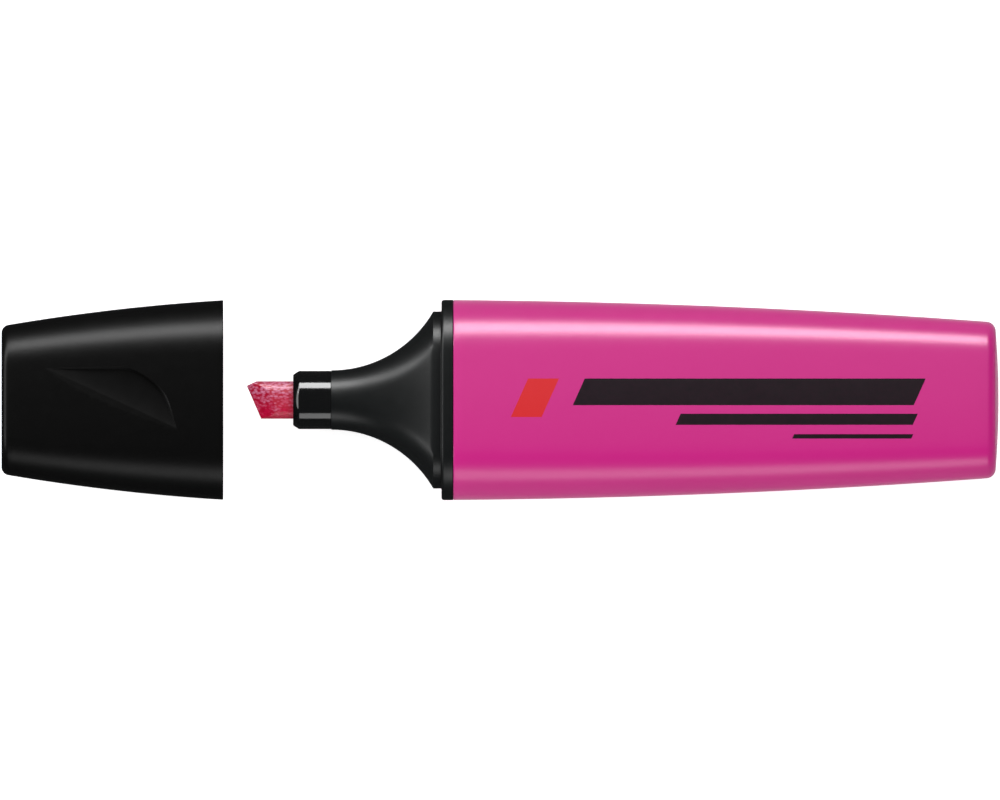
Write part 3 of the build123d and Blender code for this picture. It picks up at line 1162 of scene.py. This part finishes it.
@dataclass(frozen=True)
class FrontSection:
    """The black front section: flare, lip, collar and plug in one moulding, with the nib tube inside.

    Attributes:
        forms: The shared forms.
        bench: The tools.
        lip_inset: How far the lip lies inside the cap's mouth outline.
        lip_length: The lip's length, in front of the collar.
        flare_length: The flare's length, in front of the lip.
        front_radius: The radius of the flare's front face.
        wall: The wall's thickness.
        collar_length: The collar's length.
        collar_edge: The radius of the collar's front edge.
        plug_inset: How far the plug lies inside the barrel's outer form.
        plug_end: Where the plug ends.
        lead: The length and inset of the plug's lead-in.
        bead: Where the snap bead is, how long and how high.
        seat_radius: The radius of the ferrule's seat.
        seat_length: The depth of the ferrule's seat.
        passage: The width, thickness and corner radius of the nib's passage.
        tube: The radius of the nib tube and where it ends.
        hollow_start: Where the hollow round the tube starts.
        web: The webs' thickness.
    """

    forms: Forms
    bench: Bench
    lip_inset: float = 1.52 * MM
    lip_length: float = 1.1 * MM
    flare_length: float = 13.75 * MM
    front_radius: float = 4.01 * MM
    wall: float = 1.3 * MM
    collar_length: float = 1.6 * MM
    collar_edge: float = 0.35 * MM
    plug_inset: float = 1.25 * MM
    plug_end: float = 9.6 * MM
    lead: tuple[float, float] = (1.0 * MM, 0.3 * MM)
    bead: tuple[float, float, float] = (6.1 * MM, 1.2 * MM, 0.25 * MM)
    seat_radius: float = 3.17 * MM
    seat_length: float = 5.3 * MM
    passage: tuple[float, float, float] = (5.25 * MM, 4.0 * MM, 1.7 * MM)
    tube: tuple[float, float] = (4.0 * MM, 2.4 * MM)
    hollow_start: float = -5.2 * MM
    web: float = 0.9 * MM

    def lip(self) -> Outline:
        """The lip's outline, just inside the cap's mouth."""
        return self.forms.cap.outline(0.0, self.lip_inset)

    def flare(self, station: float, inset: float = 0.0) -> Ring:
        """Works out the flare's ring: its width and thickness grow along arcs that leave the front face.

        Args:
            station: The place behind the collar's front face, which is negative here.
            inset: How far the ring is drawn in.

        Returns:
            The ring.
        """
        lip = self.lip()
        run = station + self.lip_length + self.flare_length
        grown = []
        for lip_size in (lip.half_width, lip.half_thickness):
            growth = lip_size - self.front_radius
            arc = (self.flare_length**2 + growth**2) / (2 * growth)
            grown.append(self.front_radius + arc - math.sqrt(arc**2 - run**2))
        side_flat = tapered(run / self.flare_length, 0.0, lip.half_thickness - lip.corner)
        outline = Outline(grown[0], grown[1], grown[1] - side_flat)
        return Ring(self.forms.x_collar + station, outline.inset(inset))

    def rings(self) -> list[Ring]:
        """The rings from the plug's rear rim over the outside, then back through the bore and the hollow."""
        body = self.forms.body
        x = self.forms.x_collar
        place, length, height = self.bead
        lead_length, lead_inset = self.lead
        lip = self.lip()
        collar = body.outline(0.0)
        rings = [body.ring(self.plug_end, self.plug_inset + lead_inset)]
        for station, proud in (
            (self.plug_end - lead_length, 0.0),
            (place + length / 2, 0.0),
            (place, height),
            (place - length / 2, 0.0),
            (self.collar_length, 0.0),
        ):
            rings.append(body.ring(station, self.plug_inset - proud))
        rings.append(Ring(x + self.collar_length, collar.inset(0.1 * MM)))
        rings.append(Ring(x + self.collar_length - 0.1 * MM, collar))
        edge = rounded_edge(lambda run, inset: Ring(x + run, collar.inset(inset)), 0.0, self.collar_edge, 1)
        rings += reversed(edge)
        rings.append(Ring(x, lip.inset(-0.1 * MM)))
        rings.append(Ring(x - 0.1 * MM, lip))
        front = -self.lip_length - self.flare_length
        rings += [self.flare(station) for station in steps_between(-self.lip_length, front, 30)]
        rings.append(Ring(x + front, Outline.round(self.seat_radius)))
        seat_end = x + front + self.seat_length
        rings.append(Ring(seat_end, Outline.round(self.seat_radius)))
        passage = Outline.bar(*self.passage)
        radius, tube_end = self.tube
        rings.append(Ring(seat_end, passage))
        rings.append(Ring(x + tube_end, passage))
        rings.append(Ring(x + tube_end, Outline.round(radius)))
        rings.append(Ring(x + self.hollow_start, Outline.round(radius)))
        for station in steps_between(self.hollow_start, -self.lip_length, 5):
            rings.append(self.flare(station, self.wall))
        rings.append(Ring(x + self.plug_end, lip.inset(self.wall)))
        return rings

    def webs(self) -> bpy.types.Object:
        """Makes the upright and level webs that hold the nib tube."""
        x = self.forms.x_collar
        height = self.forms.axis_height
        lip = self.lip()
        radius, tube_end = self.tube
        thick = self.web / 2
        start = x + self.hollow_start - PAST_THE_EDGE / 2
        tall = lip.half_thickness
        wide = lip.half_width
        stop = x + tube_end
        webs = self.bench.block("webs", (start, -thick, height - tall), (stop, thick, height + tall))
        level = self.bench.block("level", (start, -wide, height - thick), (stop, wide, height + thick))
        self.bench.carve(webs, level, Cut.WELD_ON)
        stations = steps_between(self.hollow_start - PAST_THE_EDGE, -self.lip_length, 5)
        reach = [self.flare(station, self.wall / 2) for station in stations]
        reach.append(Ring(x + tube_end + PAST_THE_EDGE, lip.inset(self.wall / 2)))
        self.bench.carve(webs, self.bench.skin("reach", reach), Cut.KEEP_INSIDE)
        bore = Outline.round(radius - 0.2 * MM)
        room = [Ring(start - PAST_THE_EDGE, bore), Ring(x + tube_end + PAST_THE_EDGE, bore)]
        self.bench.carve(webs, self.bench.skin("room", room), Cut.TAKE_AWAY)
        return webs

    def build(self, finish: bpy.types.Material) -> bpy.types.Object:
        """Builds the front section and gives it its finish."""
        moulding = self.bench.skin("Front_section", self.rings(), Grain(4, 14, 12), joined_round=True)
        self.bench.gather(moulding, [self.webs()])
        self.bench.smooth(moulding)
        return dress(moulding, finish, Body.PEN, "front_section")


@dataclass(frozen=True)
class Ferrule:
    """The sleeve that grips the nib: a turned shape with a flat bore and an air vent above and below it.

    Attributes:
        forms: The shared forms.
        bench: The tools.
        front: Its front face, behind the collar's front face.
        shoulder: Where it meets the front section.
        rear: Where its shank ends.
        radius: The radius of the part that shows.
        chamfer: The length and depth of its front chamfer.
        shank_radius: The radius of its shank.
        bore: The width, thickness and corner radius of its bore.
        vent: The width of a vent, and how deep it runs into the wall.
    """

    forms: Forms
    bench: Bench
    front: float = -20.0 * MM
    shoulder: float = -14.85 * MM
    rear: float = -9.65 * MM
    radius: float = 3.925 * MM
    chamfer: tuple[float, float] = (0.8 * MM, 0.48 * MM)
    shank_radius: float = 3.15 * MM
    bore: tuple[float, float, float] = (5.15 * MM, 3.9 * MM, 1.65 * MM)
    vent: tuple[float, float] = (0.5 * MM, 0.25 * MM)

    def rings(self) -> list[Ring]:
        """The rings from the bore's front edge over the outside to the bore's rear edge."""
        x = self.forms.x_collar
        length, depth = self.chamfer
        bore = Outline.bar(*self.bore)
        turned = [
            (self.front, self.radius - depth - 0.12 * MM),
            (self.front + 0.03 * MM, self.radius - depth - 0.03 * MM),
            (self.front + 0.12 * MM, self.radius - depth + 0.05 * MM),
            (self.front + length - 0.1 * MM, self.radius - 0.06 * MM),
            (self.front + length, self.radius - 0.015 * MM),
            (self.front + length + 0.12 * MM, self.radius),
            (self.front + length + 0.5 * MM, self.radius),
            (self.shoulder - 0.5 * MM, self.radius),
            (self.shoulder - 0.08 * MM, self.radius),
            (self.shoulder, self.radius - 0.06 * MM),
            (self.shoulder, self.shank_radius),
            (self.rear, self.shank_radius),
        ]
        rings = [Ring(x + self.front, bore)]
        rings += [Ring(x + station, Outline.round(radius)) for station, radius in turned]
        rings.append(Ring(x + self.rear, bore))
        return rings

    def build(self, finish: bpy.types.Material) -> bpy.types.Object:
        """Builds the ferrule and gives it its finish."""
        sleeve = self.bench.skin("Ferrule", self.rings(), Grain(6, 14, 6), joined_round=True)
        x = self.forms.x_collar
        width, depth = self.vent
        reach = self.bore[1] / 2 + depth
        height = self.forms.axis_height
        low = (x + self.front - PAST_THE_EDGE, -width / 2, height - reach)
        high = (x + self.rear + PAST_THE_EDGE, width / 2, height + reach)
        self.bench.carve(sleeve, self.bench.block("vents", low, high), Cut.TAKE_AWAY)
        self.bench.smooth(sleeve)
        return dress(sleeve, finish, Body.PEN, "ferrule")


@dataclass(frozen=True)
class Nib:
    """The chisel nib: a bar with a slanting edge in front, bevelled on both sides, and a feeding point.

    Attributes:
        forms: The shared forms.
        bench: The tools.
        tip: Its foremost point, in front of the collar's front face.
        rear: Where its feeding point ends, in the reservoir.
        bar: The bar's width, thickness and corner radius.
        slant_length: How far the heel lies behind the toe.
        toe: How far the toe is dropped from the bar's side, and over what length.
        bevel_angle: The angle of each bevel, in degrees.
        edge: The thickness of the blunt writing edge.
        point: The length and inset of the feeding point.
        worn_edge: How round its edges are worn.
    """

    forms: Forms
    bench: Bench
    tip: float = -26.23 * MM
    rear: float = 7.0 * MM
    bar: tuple[float, float, float] = (5.05 * MM, 3.8 * MM, 1.6 * MM)
    slant_length: float = 1.93 * MM
    toe: tuple[float, float] = (0.62 * MM, 1.3 * MM)
    bevel_angle: float = 25.6
    edge: float = 1.5 * MM
    point: tuple[float, float] = (2.5 * MM, 0.9 * MM)
    worn_edge: float = 0.14 * MM

    def build(self, finish: bpy.types.Material) -> bpy.types.Object:
        """Builds the bar, cuts its chisel edge, rounds what writing has worn and gives it its finish."""
        outline = Outline.bar(*self.bar)
        length, inset = self.point
        x = self.forms.x_collar
        tip = x + self.tip
        rings = [Ring(station, outline) for station in steps_between(tip, x + self.rear - length, 12)]
        rings.append(Ring(x + self.rear, outline.inset(inset)))
        nib = self.bench.skin("Nib", rings, Grain(3, 7, 6))
        self.cut_edge(nib, tip)
        self.bench.soften(nib, self.worn_edge, 3, 18.0)
        self.bench.smooth(nib, 40.0)
        return dress(nib, finish, Body.PEN, "nib")

    def cut_edge(self, nib: bpy.types.Object, tip: float) -> None:
        """Cuts the slant, the dropped toe and the two bevels.

        Args:
            nib: The plain bar.
            tip: Where the toe comes along the pen.
        """
        side = self.bar[0] / 2
        height = self.forms.axis_height
        drop, drop_length = self.toe
        toe = Vector((tip, side - drop, height))
        heel = Vector((tip + self.slant_length, -side, height))
        slant = math.atan2(heel.x - toe.x, toe.y - heel.y)
        self.bench.slice(nib, toe, (-math.cos(slant), -math.sin(slant), 0))
        self.bench.slice(nib, toe, (-drop, drop_length, 0))
        bevel = math.radians(self.bevel_angle)
        for up in (1, -1):
            start = toe + Vector((0, 0, up * self.edge / 2))
            lean = math.sin(bevel)
            normal = (-math.cos(slant) * lean, -math.sin(slant) * lean, up * math.cos(bevel))
            self.bench.slice(nib, start, normal)


@dataclass(frozen=True)
class Reservoir:
    """The ink reservoir: its fibre core and film keep their CAD shapes, and get their finishes here."""

    def dress_nodes(self, core: bpy.types.Material, film: bpy.types.Material) -> None:
        """Gives the core and the film their materials.

        Args:
            core: The core's material.
            film: The film's material.
        """
        for name, finish in (("reservoir_core", core), ("reservoir_film", film)):
            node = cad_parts[name]
            if not node.data.materials:
                node.data.materials.append(finish)
            for slot in node.material_slots:
                slot.material = finish
            log.info("%s keeps its CAD shape", name)


# The cap's pieces


@dataclass(frozen=True)
class Scoop:
    """The thumb scoop's shape: a trough lying slantwise on the face, cut off by a sloping wall.

    Attributes:
        rim: Its rim's corners, measured from the cap's mouth and the pen's axis.
        rim_radius: The radius of the rim's two rounded corners.
        depth: How deep the trough is.
        half_width: Half the trough's width.
        wall_slope: How far the wall slopes from upright, in degrees.
        lip: The rounding of the rim, as how far in and how far down each step goes, in millimetres.
        lip_top: How far above the scoop's plane the rounding starts.
    """

    rim: tuple[tuple[float, float], ...] = (
        (-25.7 * MM, 4.2 * MM),
        (-12.4 * MM, 4.45 * MM),
        (-8.2 * MM, 1.4 * MM),
        (-6.0 * MM, -4.8 * MM),
    )
    rim_radius: float = 6.5 * MM
    depth: float = 0.7 * MM
    half_width: float = 4.9 * MM
    wall_slope: float = 30.0
    lip: tuple[tuple[float, float], ...] = ((1.2, 0.26), (0.3, 0.08), (0.12, 0.07), (0.12, 0.12))
    lip_top: float = 0.28 * MM

    def let_out(self, reach: float) -> list[Vector]:
        """Moves each straight side of the closed rim outwards and finds its new corners.

        Args:
            reach: How far the sides move.

        Returns:
            The new corners in order, starting with the rim's first.
        """
        corners = [Vector(corner) for corner in self.rim]
        corners.append(Vector((corners[0].x, corners[-1].y)))
        count = len(corners)
        moved = []
        for index, corner in enumerate(corners):
            into = (corner - corners[index - 1]).normalized()
            out = (corners[(index + 1) % count] - corner).normalized()
            first = Vector((-into.y, into.x))
            second = Vector((-out.y, out.x))
            moved.append(corner + (first + second) * (reach / (1 + first.dot(second))))
        return [Vector((*corner, 0)) for corner in moved]

    def draw_rim(self, reach: float) -> bpy.types.Object:
        """Draws the rim by extruding a point along its straight runs and spinning it round its corners.

        Args:
            reach: How far outside the rim it is drawn.

        Returns:
            A flat face in edit mode.
        """
        points = self.let_out(reach)
        Bench.clear()
        bpy.ops.mesh.primitive_plane_add(size=SPECK, location=points[0])
        tool = bpy.context.object
        tool.name = "scoop_tool"
        bpy.ops.object.transform_apply(location=True, rotation=False, scale=False)
        bpy.ops.object.mode_set(mode="EDIT")
        bpy.ops.mesh.select_all(action="SELECT")
        bpy.ops.mesh.merge(type="CENTER")
        here = points[0]
        radius = self.rim_radius + reach
        for before, corner, after in zip(points[:2], points[1:3], points[2:4]):
            along = (corner - before).normalized()
            leaving = (after - corner).normalized()
            turn = along.angle(leaving)
            setback = radius * math.tan(turn / 2)
            tangent = corner - along * setback
            self.extrude_by(tangent - here)
            center = tangent + Vector((along.y, -along.x, 0)) * radius
            bpy.ops.mesh.spin(steps=14, angle=turn, center=center, axis=(0, 0, 1))
            here = corner + leaving * setback
        self.extrude_by(points[3] - here)
        self.extrude_by(points[4] - points[3])
        bpy.ops.mesh.select_all(action="SELECT")
        bpy.ops.mesh.edge_face_add()
        return tool

    @staticmethod
    def extrude_by(run: Vector) -> None:
        """Draws a straight run from the last point."""
        bpy.ops.mesh.extrude_region_move(TRANSFORM_OT_translate={"value": run})

    def tool(self, bench: Bench, place: Matrix) -> bpy.types.Object:
        """Makes the cutting tool: a block with a rounded lip and sloping walls, kept inside the trough.

        Args:
            bench: The tools.
            place: Where the scoop's own plane lies, with its middle at the mouth.

        Returns:
            The tool, in place.
        """
        reach = sum(inward for inward, _ in self.lip) * MM
        tool = self.draw_rim(reach)
        bpy.ops.mesh.select_all(action="SELECT")
        bpy.ops.mesh.extrude_region_move(TRANSFORM_OT_translate={"value": (0, 0, self.depth)})
        bench.pick(tool, lambda point: abs(point.co.z) < WELD)
        for inward, down in self.lip:
            bpy.ops.mesh.inset(thickness=inward * MM, depth=0, use_even_offset=True)
            bpy.ops.transform.translate(value=(0, 0, -down * MM))
        wall = 2 * self.depth
        slope = math.tan(math.radians(self.wall_slope))
        bpy.ops.mesh.inset(thickness=wall * slope, depth=0, use_even_offset=True)
        bpy.ops.transform.translate(value=(0, 0, -wall))
        bpy.ops.mesh.select_all(action="SELECT")
        bpy.ops.transform.translate(value=(0, 0, self.lip_top))
        bpy.ops.mesh.normals_make_consistent(inside=False)
        bpy.ops.object.mode_set(mode="OBJECT")
        bench.carve(tool, self.trough(), Cut.KEEP_INSIDE)
        tool.data.transform(place)
        return tool

    def trough(self) -> bpy.types.Object:
        """Makes the long round bar whose underside is the trough."""
        start = Vector((*self.rim[0], 0))
        end = Vector((*self.rim[-1], 0))
        along = (end - start).normalized()
        across = Vector((-along.y, along.x, 0))
        radius = (self.half_width**2 + self.depth**2) / (2 * self.depth)
        middle = (start + end) / 2 + across * self.half_width + Vector((0, 0, radius - self.depth))
        Bench.clear()
        bpy.ops.mesh.primitive_cylinder_add(vertices=720, radius=radius, depth=0.12, location=middle)
        bar = bpy.context.object
        bar.rotation_euler = (0, math.pi / 2, math.atan2(along.y, along.x))
        bpy.ops.object.transform_apply(location=True, rotation=True, scale=False)
        return bar


@dataclass(frozen=True)
class CapShell:
    """The black cap: a closed-ended shell with a thumb scoop on each face and a socket inside.

    Attributes:
        forms: The shared forms.
        bench: The tools.
        wall: Its wall's thickness.
        floor: The thickness of its closed end.
        end_edge: The radius round its closed end.
        mouth_edge: The radius at its mouth.
        socket: The socket's bore radius, wall and length.
        web: The webs' thickness and length.
        scoop: The scoop's shape.
    """

    forms: Forms
    bench: Bench
    wall: float = 1.4 * MM
    floor: float = 1.5 * MM
    end_edge: float = 0.9 * MM
    mouth_edge: float = 0.15 * MM
    socket: tuple[float, float, float] = (4.885 * MM, 0.9 * MM, 6.0 * MM)
    web: tuple[float, float] = (0.9 * MM, 11.0 * MM)
    scoop: Scoop = Scoop()

    def rings(self) -> list[Ring]:
        """The rings from the middle of the closed end, over the outside, and in to the floor."""
        cap = self.forms.cap
        end_outline = cap.outline(cap.length, self.end_edge)
        rings = []
        for share in (0.03, 0.2, 0.4, 0.6, 0.8, 0.93):
            rings.append(Ring(self.forms.x_cap_end, end_outline.shrunk(share)))
        rings += rounded_edge(cap.ring, cap.length, self.end_edge, -1, steps=8)
        for depth in steps_between(cap.length - self.end_edge - 0.7 * MM, 0.8 * MM, 42):
            rings.append(cap.ring(depth))
        rings += reversed(rounded_edge(cap.ring, 0.0, self.mouth_edge, 1, steps=4))
        inner_end = cap.length - self.floor
        rings += [cap.ring(depth, self.wall) for depth in steps_between(2 * HAIR, inner_end, 9)]
        floor_outline = cap.outline(inner_end, self.wall)
        rings += [Ring(cap.x - inner_end, floor_outline.shrunk(share)) for share in (0.7, 0.35, 0.04)]
        return rings

    def fittings(self) -> list[bpy.types.Object]:
        """Makes the socket and the level web that carry the inner cap."""
        cap = self.forms.cap
        height = self.forms.axis_height
        x_floor = self.forms.x_cap_end + self.floor
        root = x_floor - self.floor / 2
        radius, wall, length = self.socket
        bore = Outline.round(radius)
        outside = Outline.round(radius + wall)
        inner_rim = bore.inset(-0.15 * MM)
        tube = [
            Ring(root, bore),
            Ring(root, outside),
            Ring(x_floor + length - 0.15 * MM, outside),
            Ring(x_floor + length, outside.inset(0.15 * MM)),
            Ring(x_floor + length, inner_rim),
            Ring(x_floor + length - 0.15 * MM, bore),
        ]
        socket = self.bench.skin("socket", tube, Grain(4, 8, 4), joined_round=True)
        thick, web_length = self.web
        wide = cap.width[0] / 2
        low = (root, -wide, height - thick / 2)
        high = (x_floor + web_length, wide, height + thick / 2)
        webs = self.bench.block("webs", low, high)
        deepest = cap.length - self.floor / 2
        depths = steps_between(deepest, cap.length - self.floor - web_length - PAST_THE_EDGE, 5)
        reach = [cap.ring(depth, self.wall / 2) for depth in depths]
        self.bench.carve(webs, self.bench.skin("reach", reach), Cut.KEEP_INSIDE)
        room_outline = Outline.round(radius + wall / 2)
        room = [Ring(root - PAST_THE_EDGE, room_outline), Ring(high[0] + PAST_THE_EDGE, room_outline)]
        self.bench.carve(webs, self.bench.skin("room", room), Cut.TAKE_AWAY)
        return [socket, webs]

    def scoop_place(self) -> Matrix:
        """Where the scoop's own plane lies: it slopes with the cap's face."""
        cap = self.forms.cap
        start, end = self.scoop.rim[0][0], self.scoop.rim[-1][0]
        rise = cap.outline(-end).half_thickness - cap.outline(-start).half_thickness
        slope = math.atan2(rise, end - start)
        middle = (start + end) / 2
        height = self.forms.axis_height + cap.outline(-middle).half_thickness - middle * math.sin(slope)
        return Matrix.Translation((cap.x, 0, height)) @ Matrix.Rotation(-slope, 4, "Y")

    def build(self, finish: bpy.types.Material) -> bpy.types.Object:
        """Builds the cap shell and gives it its finish."""
        shell = self.bench.skin("Cap_shell", self.rings(), Grain(4, 14, 22))
        tool = self.scoop.tool(self.bench, self.scoop_place())
        under = self.bench.copy(tool, "scoop_tool_under")
        axis = Vector((0, 0, self.forms.axis_height))
        half_turn = Matrix.Rotation(math.pi, 4, "X")
        under.data.transform(Matrix.Translation(axis) @ half_turn @ Matrix.Translation(-axis))
        self.bench.carve(shell, tool, Cut.TAKE_AWAY)
        self.bench.carve(shell, under, Cut.TAKE_AWAY)
        self.bench.gather(shell, self.fittings())
        self.bench.smooth(shell, 19.0)
        return dress(shell, finish, Body.CAP, "cap_shell")


@dataclass(frozen=True)
class InnerCap:
    """The turned cup that seals on the ferrule and keeps the nib wet.

    Attributes:
        forms: The shared forms.
        bench: The tools.
        open_end: Its open end, measured from the cap's mouth.
        bore: The sealing bore's radius.
        lead: The length and height of the bore's lead-in.
        radius: Its outside radius.
        chamber: The nib chamber's radius, and where it starts and ends.
        closed_end: Where its closed end lies against the cap's floor.
    """

    forms: Forms
    bench: Bench
    open_end: float = 15.25 * MM
    bore: float = 3.965 * MM
    lead: float = 0.5 * MM
    radius: float = 4.865 * MM
    chamber: tuple[float, float, float] = (3.6 * MM, 20.35 * MM, 27.6 * MM)
    closed_end: float = 28.4 * MM

    def build(self, finish: bpy.types.Material) -> bpy.types.Object:
        """Turns the cup and gives it its finish."""
        chamber_radius, chamber_start, chamber_end = self.chamber
        turned = [(self.closed_end, self.radius * share) for share in (0.05, 0.5, 0.97)]
        turned += [
            (self.closed_end - 0.12 * MM, self.radius),
            (self.closed_end - 3 * MM, self.radius),
            (self.open_end + 0.12 * MM, self.radius),
            (self.open_end, self.radius - 0.12 * MM),
            (self.open_end, self.bore + self.lead),
            (self.open_end + self.lead, self.bore),
            (chamber_start - 0.05 * MM, self.bore),
            (chamber_start, self.bore - 0.05 * MM),
            (chamber_start, chamber_radius),
            (chamber_end - 0.3 * MM, chamber_radius),
            (chamber_end, chamber_radius - 0.3 * MM),
            (chamber_end, chamber_radius * 0.5),
            (chamber_end, chamber_radius * 0.05),
        ]
        x = self.forms.x_mouth
        rings = [Ring(x - depth, Outline.round(radius)) for depth, radius in turned]
        cup = self.bench.skin("Inner_cap", rings, Grain(6, 12, 6))
        return dress(cup, finish, Body.CAP, "inner_cap")


# The studio


@dataclass(frozen=True)
class Softbox:
    """A long soft light that faces the pen.

    Attributes:
        name: The light's name.
        tilt: How far it stands from straight above, in degrees.
        heading: The side that it stands on: 0 for +Y, 90 for -X and 180 for -Y.
        length: Its level length.
        height: Its height.
        power: Its power in watts.
        mirrored: Whether glossy surfaces mirror it.
        scattered: Whether dull surfaces scatter it.
        distance: How far it stands from the pen.
    """

    name: str
    tilt: float
    heading: float
    length: float
    height: float
    power: float
    mirrored: bool = True
    scattered: bool = True
    distance: float = 1.0

    def hang(self) -> None:
        """Hangs the light so that it faces the pen."""
        data = bpy.data.lights.new(self.name, "AREA")
        data.shape = "RECTANGLE"
        data.size = self.length
        data.size_y = self.height
        data.energy = self.power
        lamp = bpy.data.objects.new(self.name, data)
        tilt = math.radians(self.tilt)
        heading = math.radians(self.heading)
        outward = Vector((-math.sin(heading), math.cos(heading), 0))
        direction = outward * math.sin(tilt) + Vector((0, 0, math.cos(tilt)))
        lamp.location = direction * self.distance
        lamp.rotation_euler = direction.to_track_quat("Z", "Y").to_euler()
        lamp.visible_camera = False
        lamp.visible_glossy = self.mirrored
        lamp.visible_diffuse = self.scattered
        bpy.context.scene.collection.objects.link(lamp)


@dataclass(frozen=True)
class Studio:
    """The pale floor, the softboxes, the dim surroundings and the camera.

    Attributes:
        view_width: How much of the pen's length the camera takes in.
        softboxes: The lights.
        camera_height: The camera's height above the floor.
        surroundings: The colour of the dim surroundings.
        floor_size: The floor's size.
    """

    view_width: float = 134.8 * MM
    softboxes: tuple[Softbox, ...] = (
        Softbox("Upper_softbox", 60.0, 0.0, 0.60, 0.42, 13.0, scattered=False),
        Softbox("Corner_softbox", 60.0, 42.0, 0.80, 0.40, 8.0, scattered=False),
        Softbox("Lower_softbox", 66.0, 180.0, 0.70, 0.42, 2.9),
        Softbox("End_softbox", 66.0, 90.0, 0.95, 0.36, 5.0),
        Softbox("Fill", 22.0, 0.0, 1.20, 1.20, 11.4, mirrored=False),
    )
    camera_height: float = 1.5
    surroundings: Colour = (0.03, 0.03, 0.031, 1)
    floor_size: float = 8.0

    def set_up(self) -> None:
        """Sets up everything round the pen."""
        for softbox in self.softboxes:
            softbox.hang()
        self.lay_floor()
        self.dim_surroundings()
        self.set_camera()

    def lay_floor(self) -> None:
        """Lays the floor that the pen lies on."""
        Bench.clear()
        bpy.ops.mesh.primitive_plane_add(size=self.floor_size, location=(0, 0, 0))
        floor = bpy.context.object
        floor.name = "Floor"
        floor.data.materials.append(PaleFloor("floor_white", FLOOR_WHITE, 0.82).material())
        floor.visible_glossy = False

    def dim_surroundings(self) -> None:
        """Makes the surroundings evenly dim."""
        world = bpy.data.worlds.new("Surroundings")
        bpy.context.scene.world = world
        world.use_nodes = True
        glow = world.node_tree.nodes["Background"]
        glow.inputs["Color"].default_value = self.surroundings
        glow.inputs["Strength"].default_value = 1.0

    def set_camera(self) -> None:
        """Sets the camera straight above the pen, with the tail to the right."""
        data = bpy.data.cameras.new("Camera")
        data.type = "ORTHO"
        data.ortho_scale = self.view_width
        camera = bpy.data.objects.new("Camera", data)
        camera.location = (0, 0, self.camera_height)
        bpy.context.scene.collection.objects.link(camera)
        bpy.context.scene.camera = camera
        bpy.context.scene.view_settings.view_transform = "Standard"


def line_marks() -> tuple[Stroke, ...]:
    """The print: three strokes of falling width, as lines that the pen draws, and one red chisel mark."""
    return (
        Stroke(10.6 * MM, 56.6 * MM, 1.1 * MM, 3.6 * MM, BLACK_INK),
        Stroke(24.0 * MM, 56.0 * MM, -2.6 * MM, 1.5 * MM, BLACK_INK),
        Stroke(39.5 * MM, 55.6 * MM, -4.9 * MM, 0.6 * MM, BLACK_INK),
        Stroke(2.6 * MM, 6.8 * MM, 0.3 * MM, 5.2 * MM, RED_INK),
    )


def main() -> None:
    """Builds the pieces in order, dresses them and sets up the studio."""
    logging.basicConfig(level=logging.INFO, format="%(name)s: %(message)s")
    forms = Forms.from_frame()
    bench = Bench(forms.axis_height)
    pink = PrintedPlastic(
        "barrel_pink",
        PINK,
        PINK_CLOUD,
        0.31,
        bloom=0.25,
        strokes=line_marks(),
        print_height=forms.axis_height,
    )
    cap_black = MouldedPlastic("cap_black", CAP_BLACK, CAP_CLOUD, 0.36, shine=0.15)
    front_black = MouldedPlastic("front_black", FRONT_BLACK, FRONT_CLOUD, 0.36, shine=0.3)
    ferrule_black = MouldedPlastic("ferrule_black", FERRULE_BLACK, FERRULE_CLOUD, 0.10)
    seal_white = MouldedPlastic("seal_white", SEAL_WHITE, SEAL_CLOUD, 0.40)
    nib_pink = PorousFibre("nib_pink", NIB_SOAKED, NIB_DRY_AND_LIT, NIB_PORE_SHADE)
    core_pink = BundledFibre("core_pink", CORE_WET, CORE_SPARE)
    film_clear = WrappedFilm("film_clear", FILM_TINT, FILM_PALE)
    Barrel(forms, bench).build(pink.material())
    FrontSection(forms, bench).build(front_black.material())
    Ferrule(forms, bench).build(ferrule_black.material())
    Nib(forms, bench).build(nib_pink.material())
    Reservoir().dress_nodes(core_pink.material(), film_clear.material())
    CapShell(forms, bench).build(cap_black.material())
    InnerCap(forms, bench).build(seal_white.material())
    Studio().set_up()


if __name__ == "__main__":
    main()
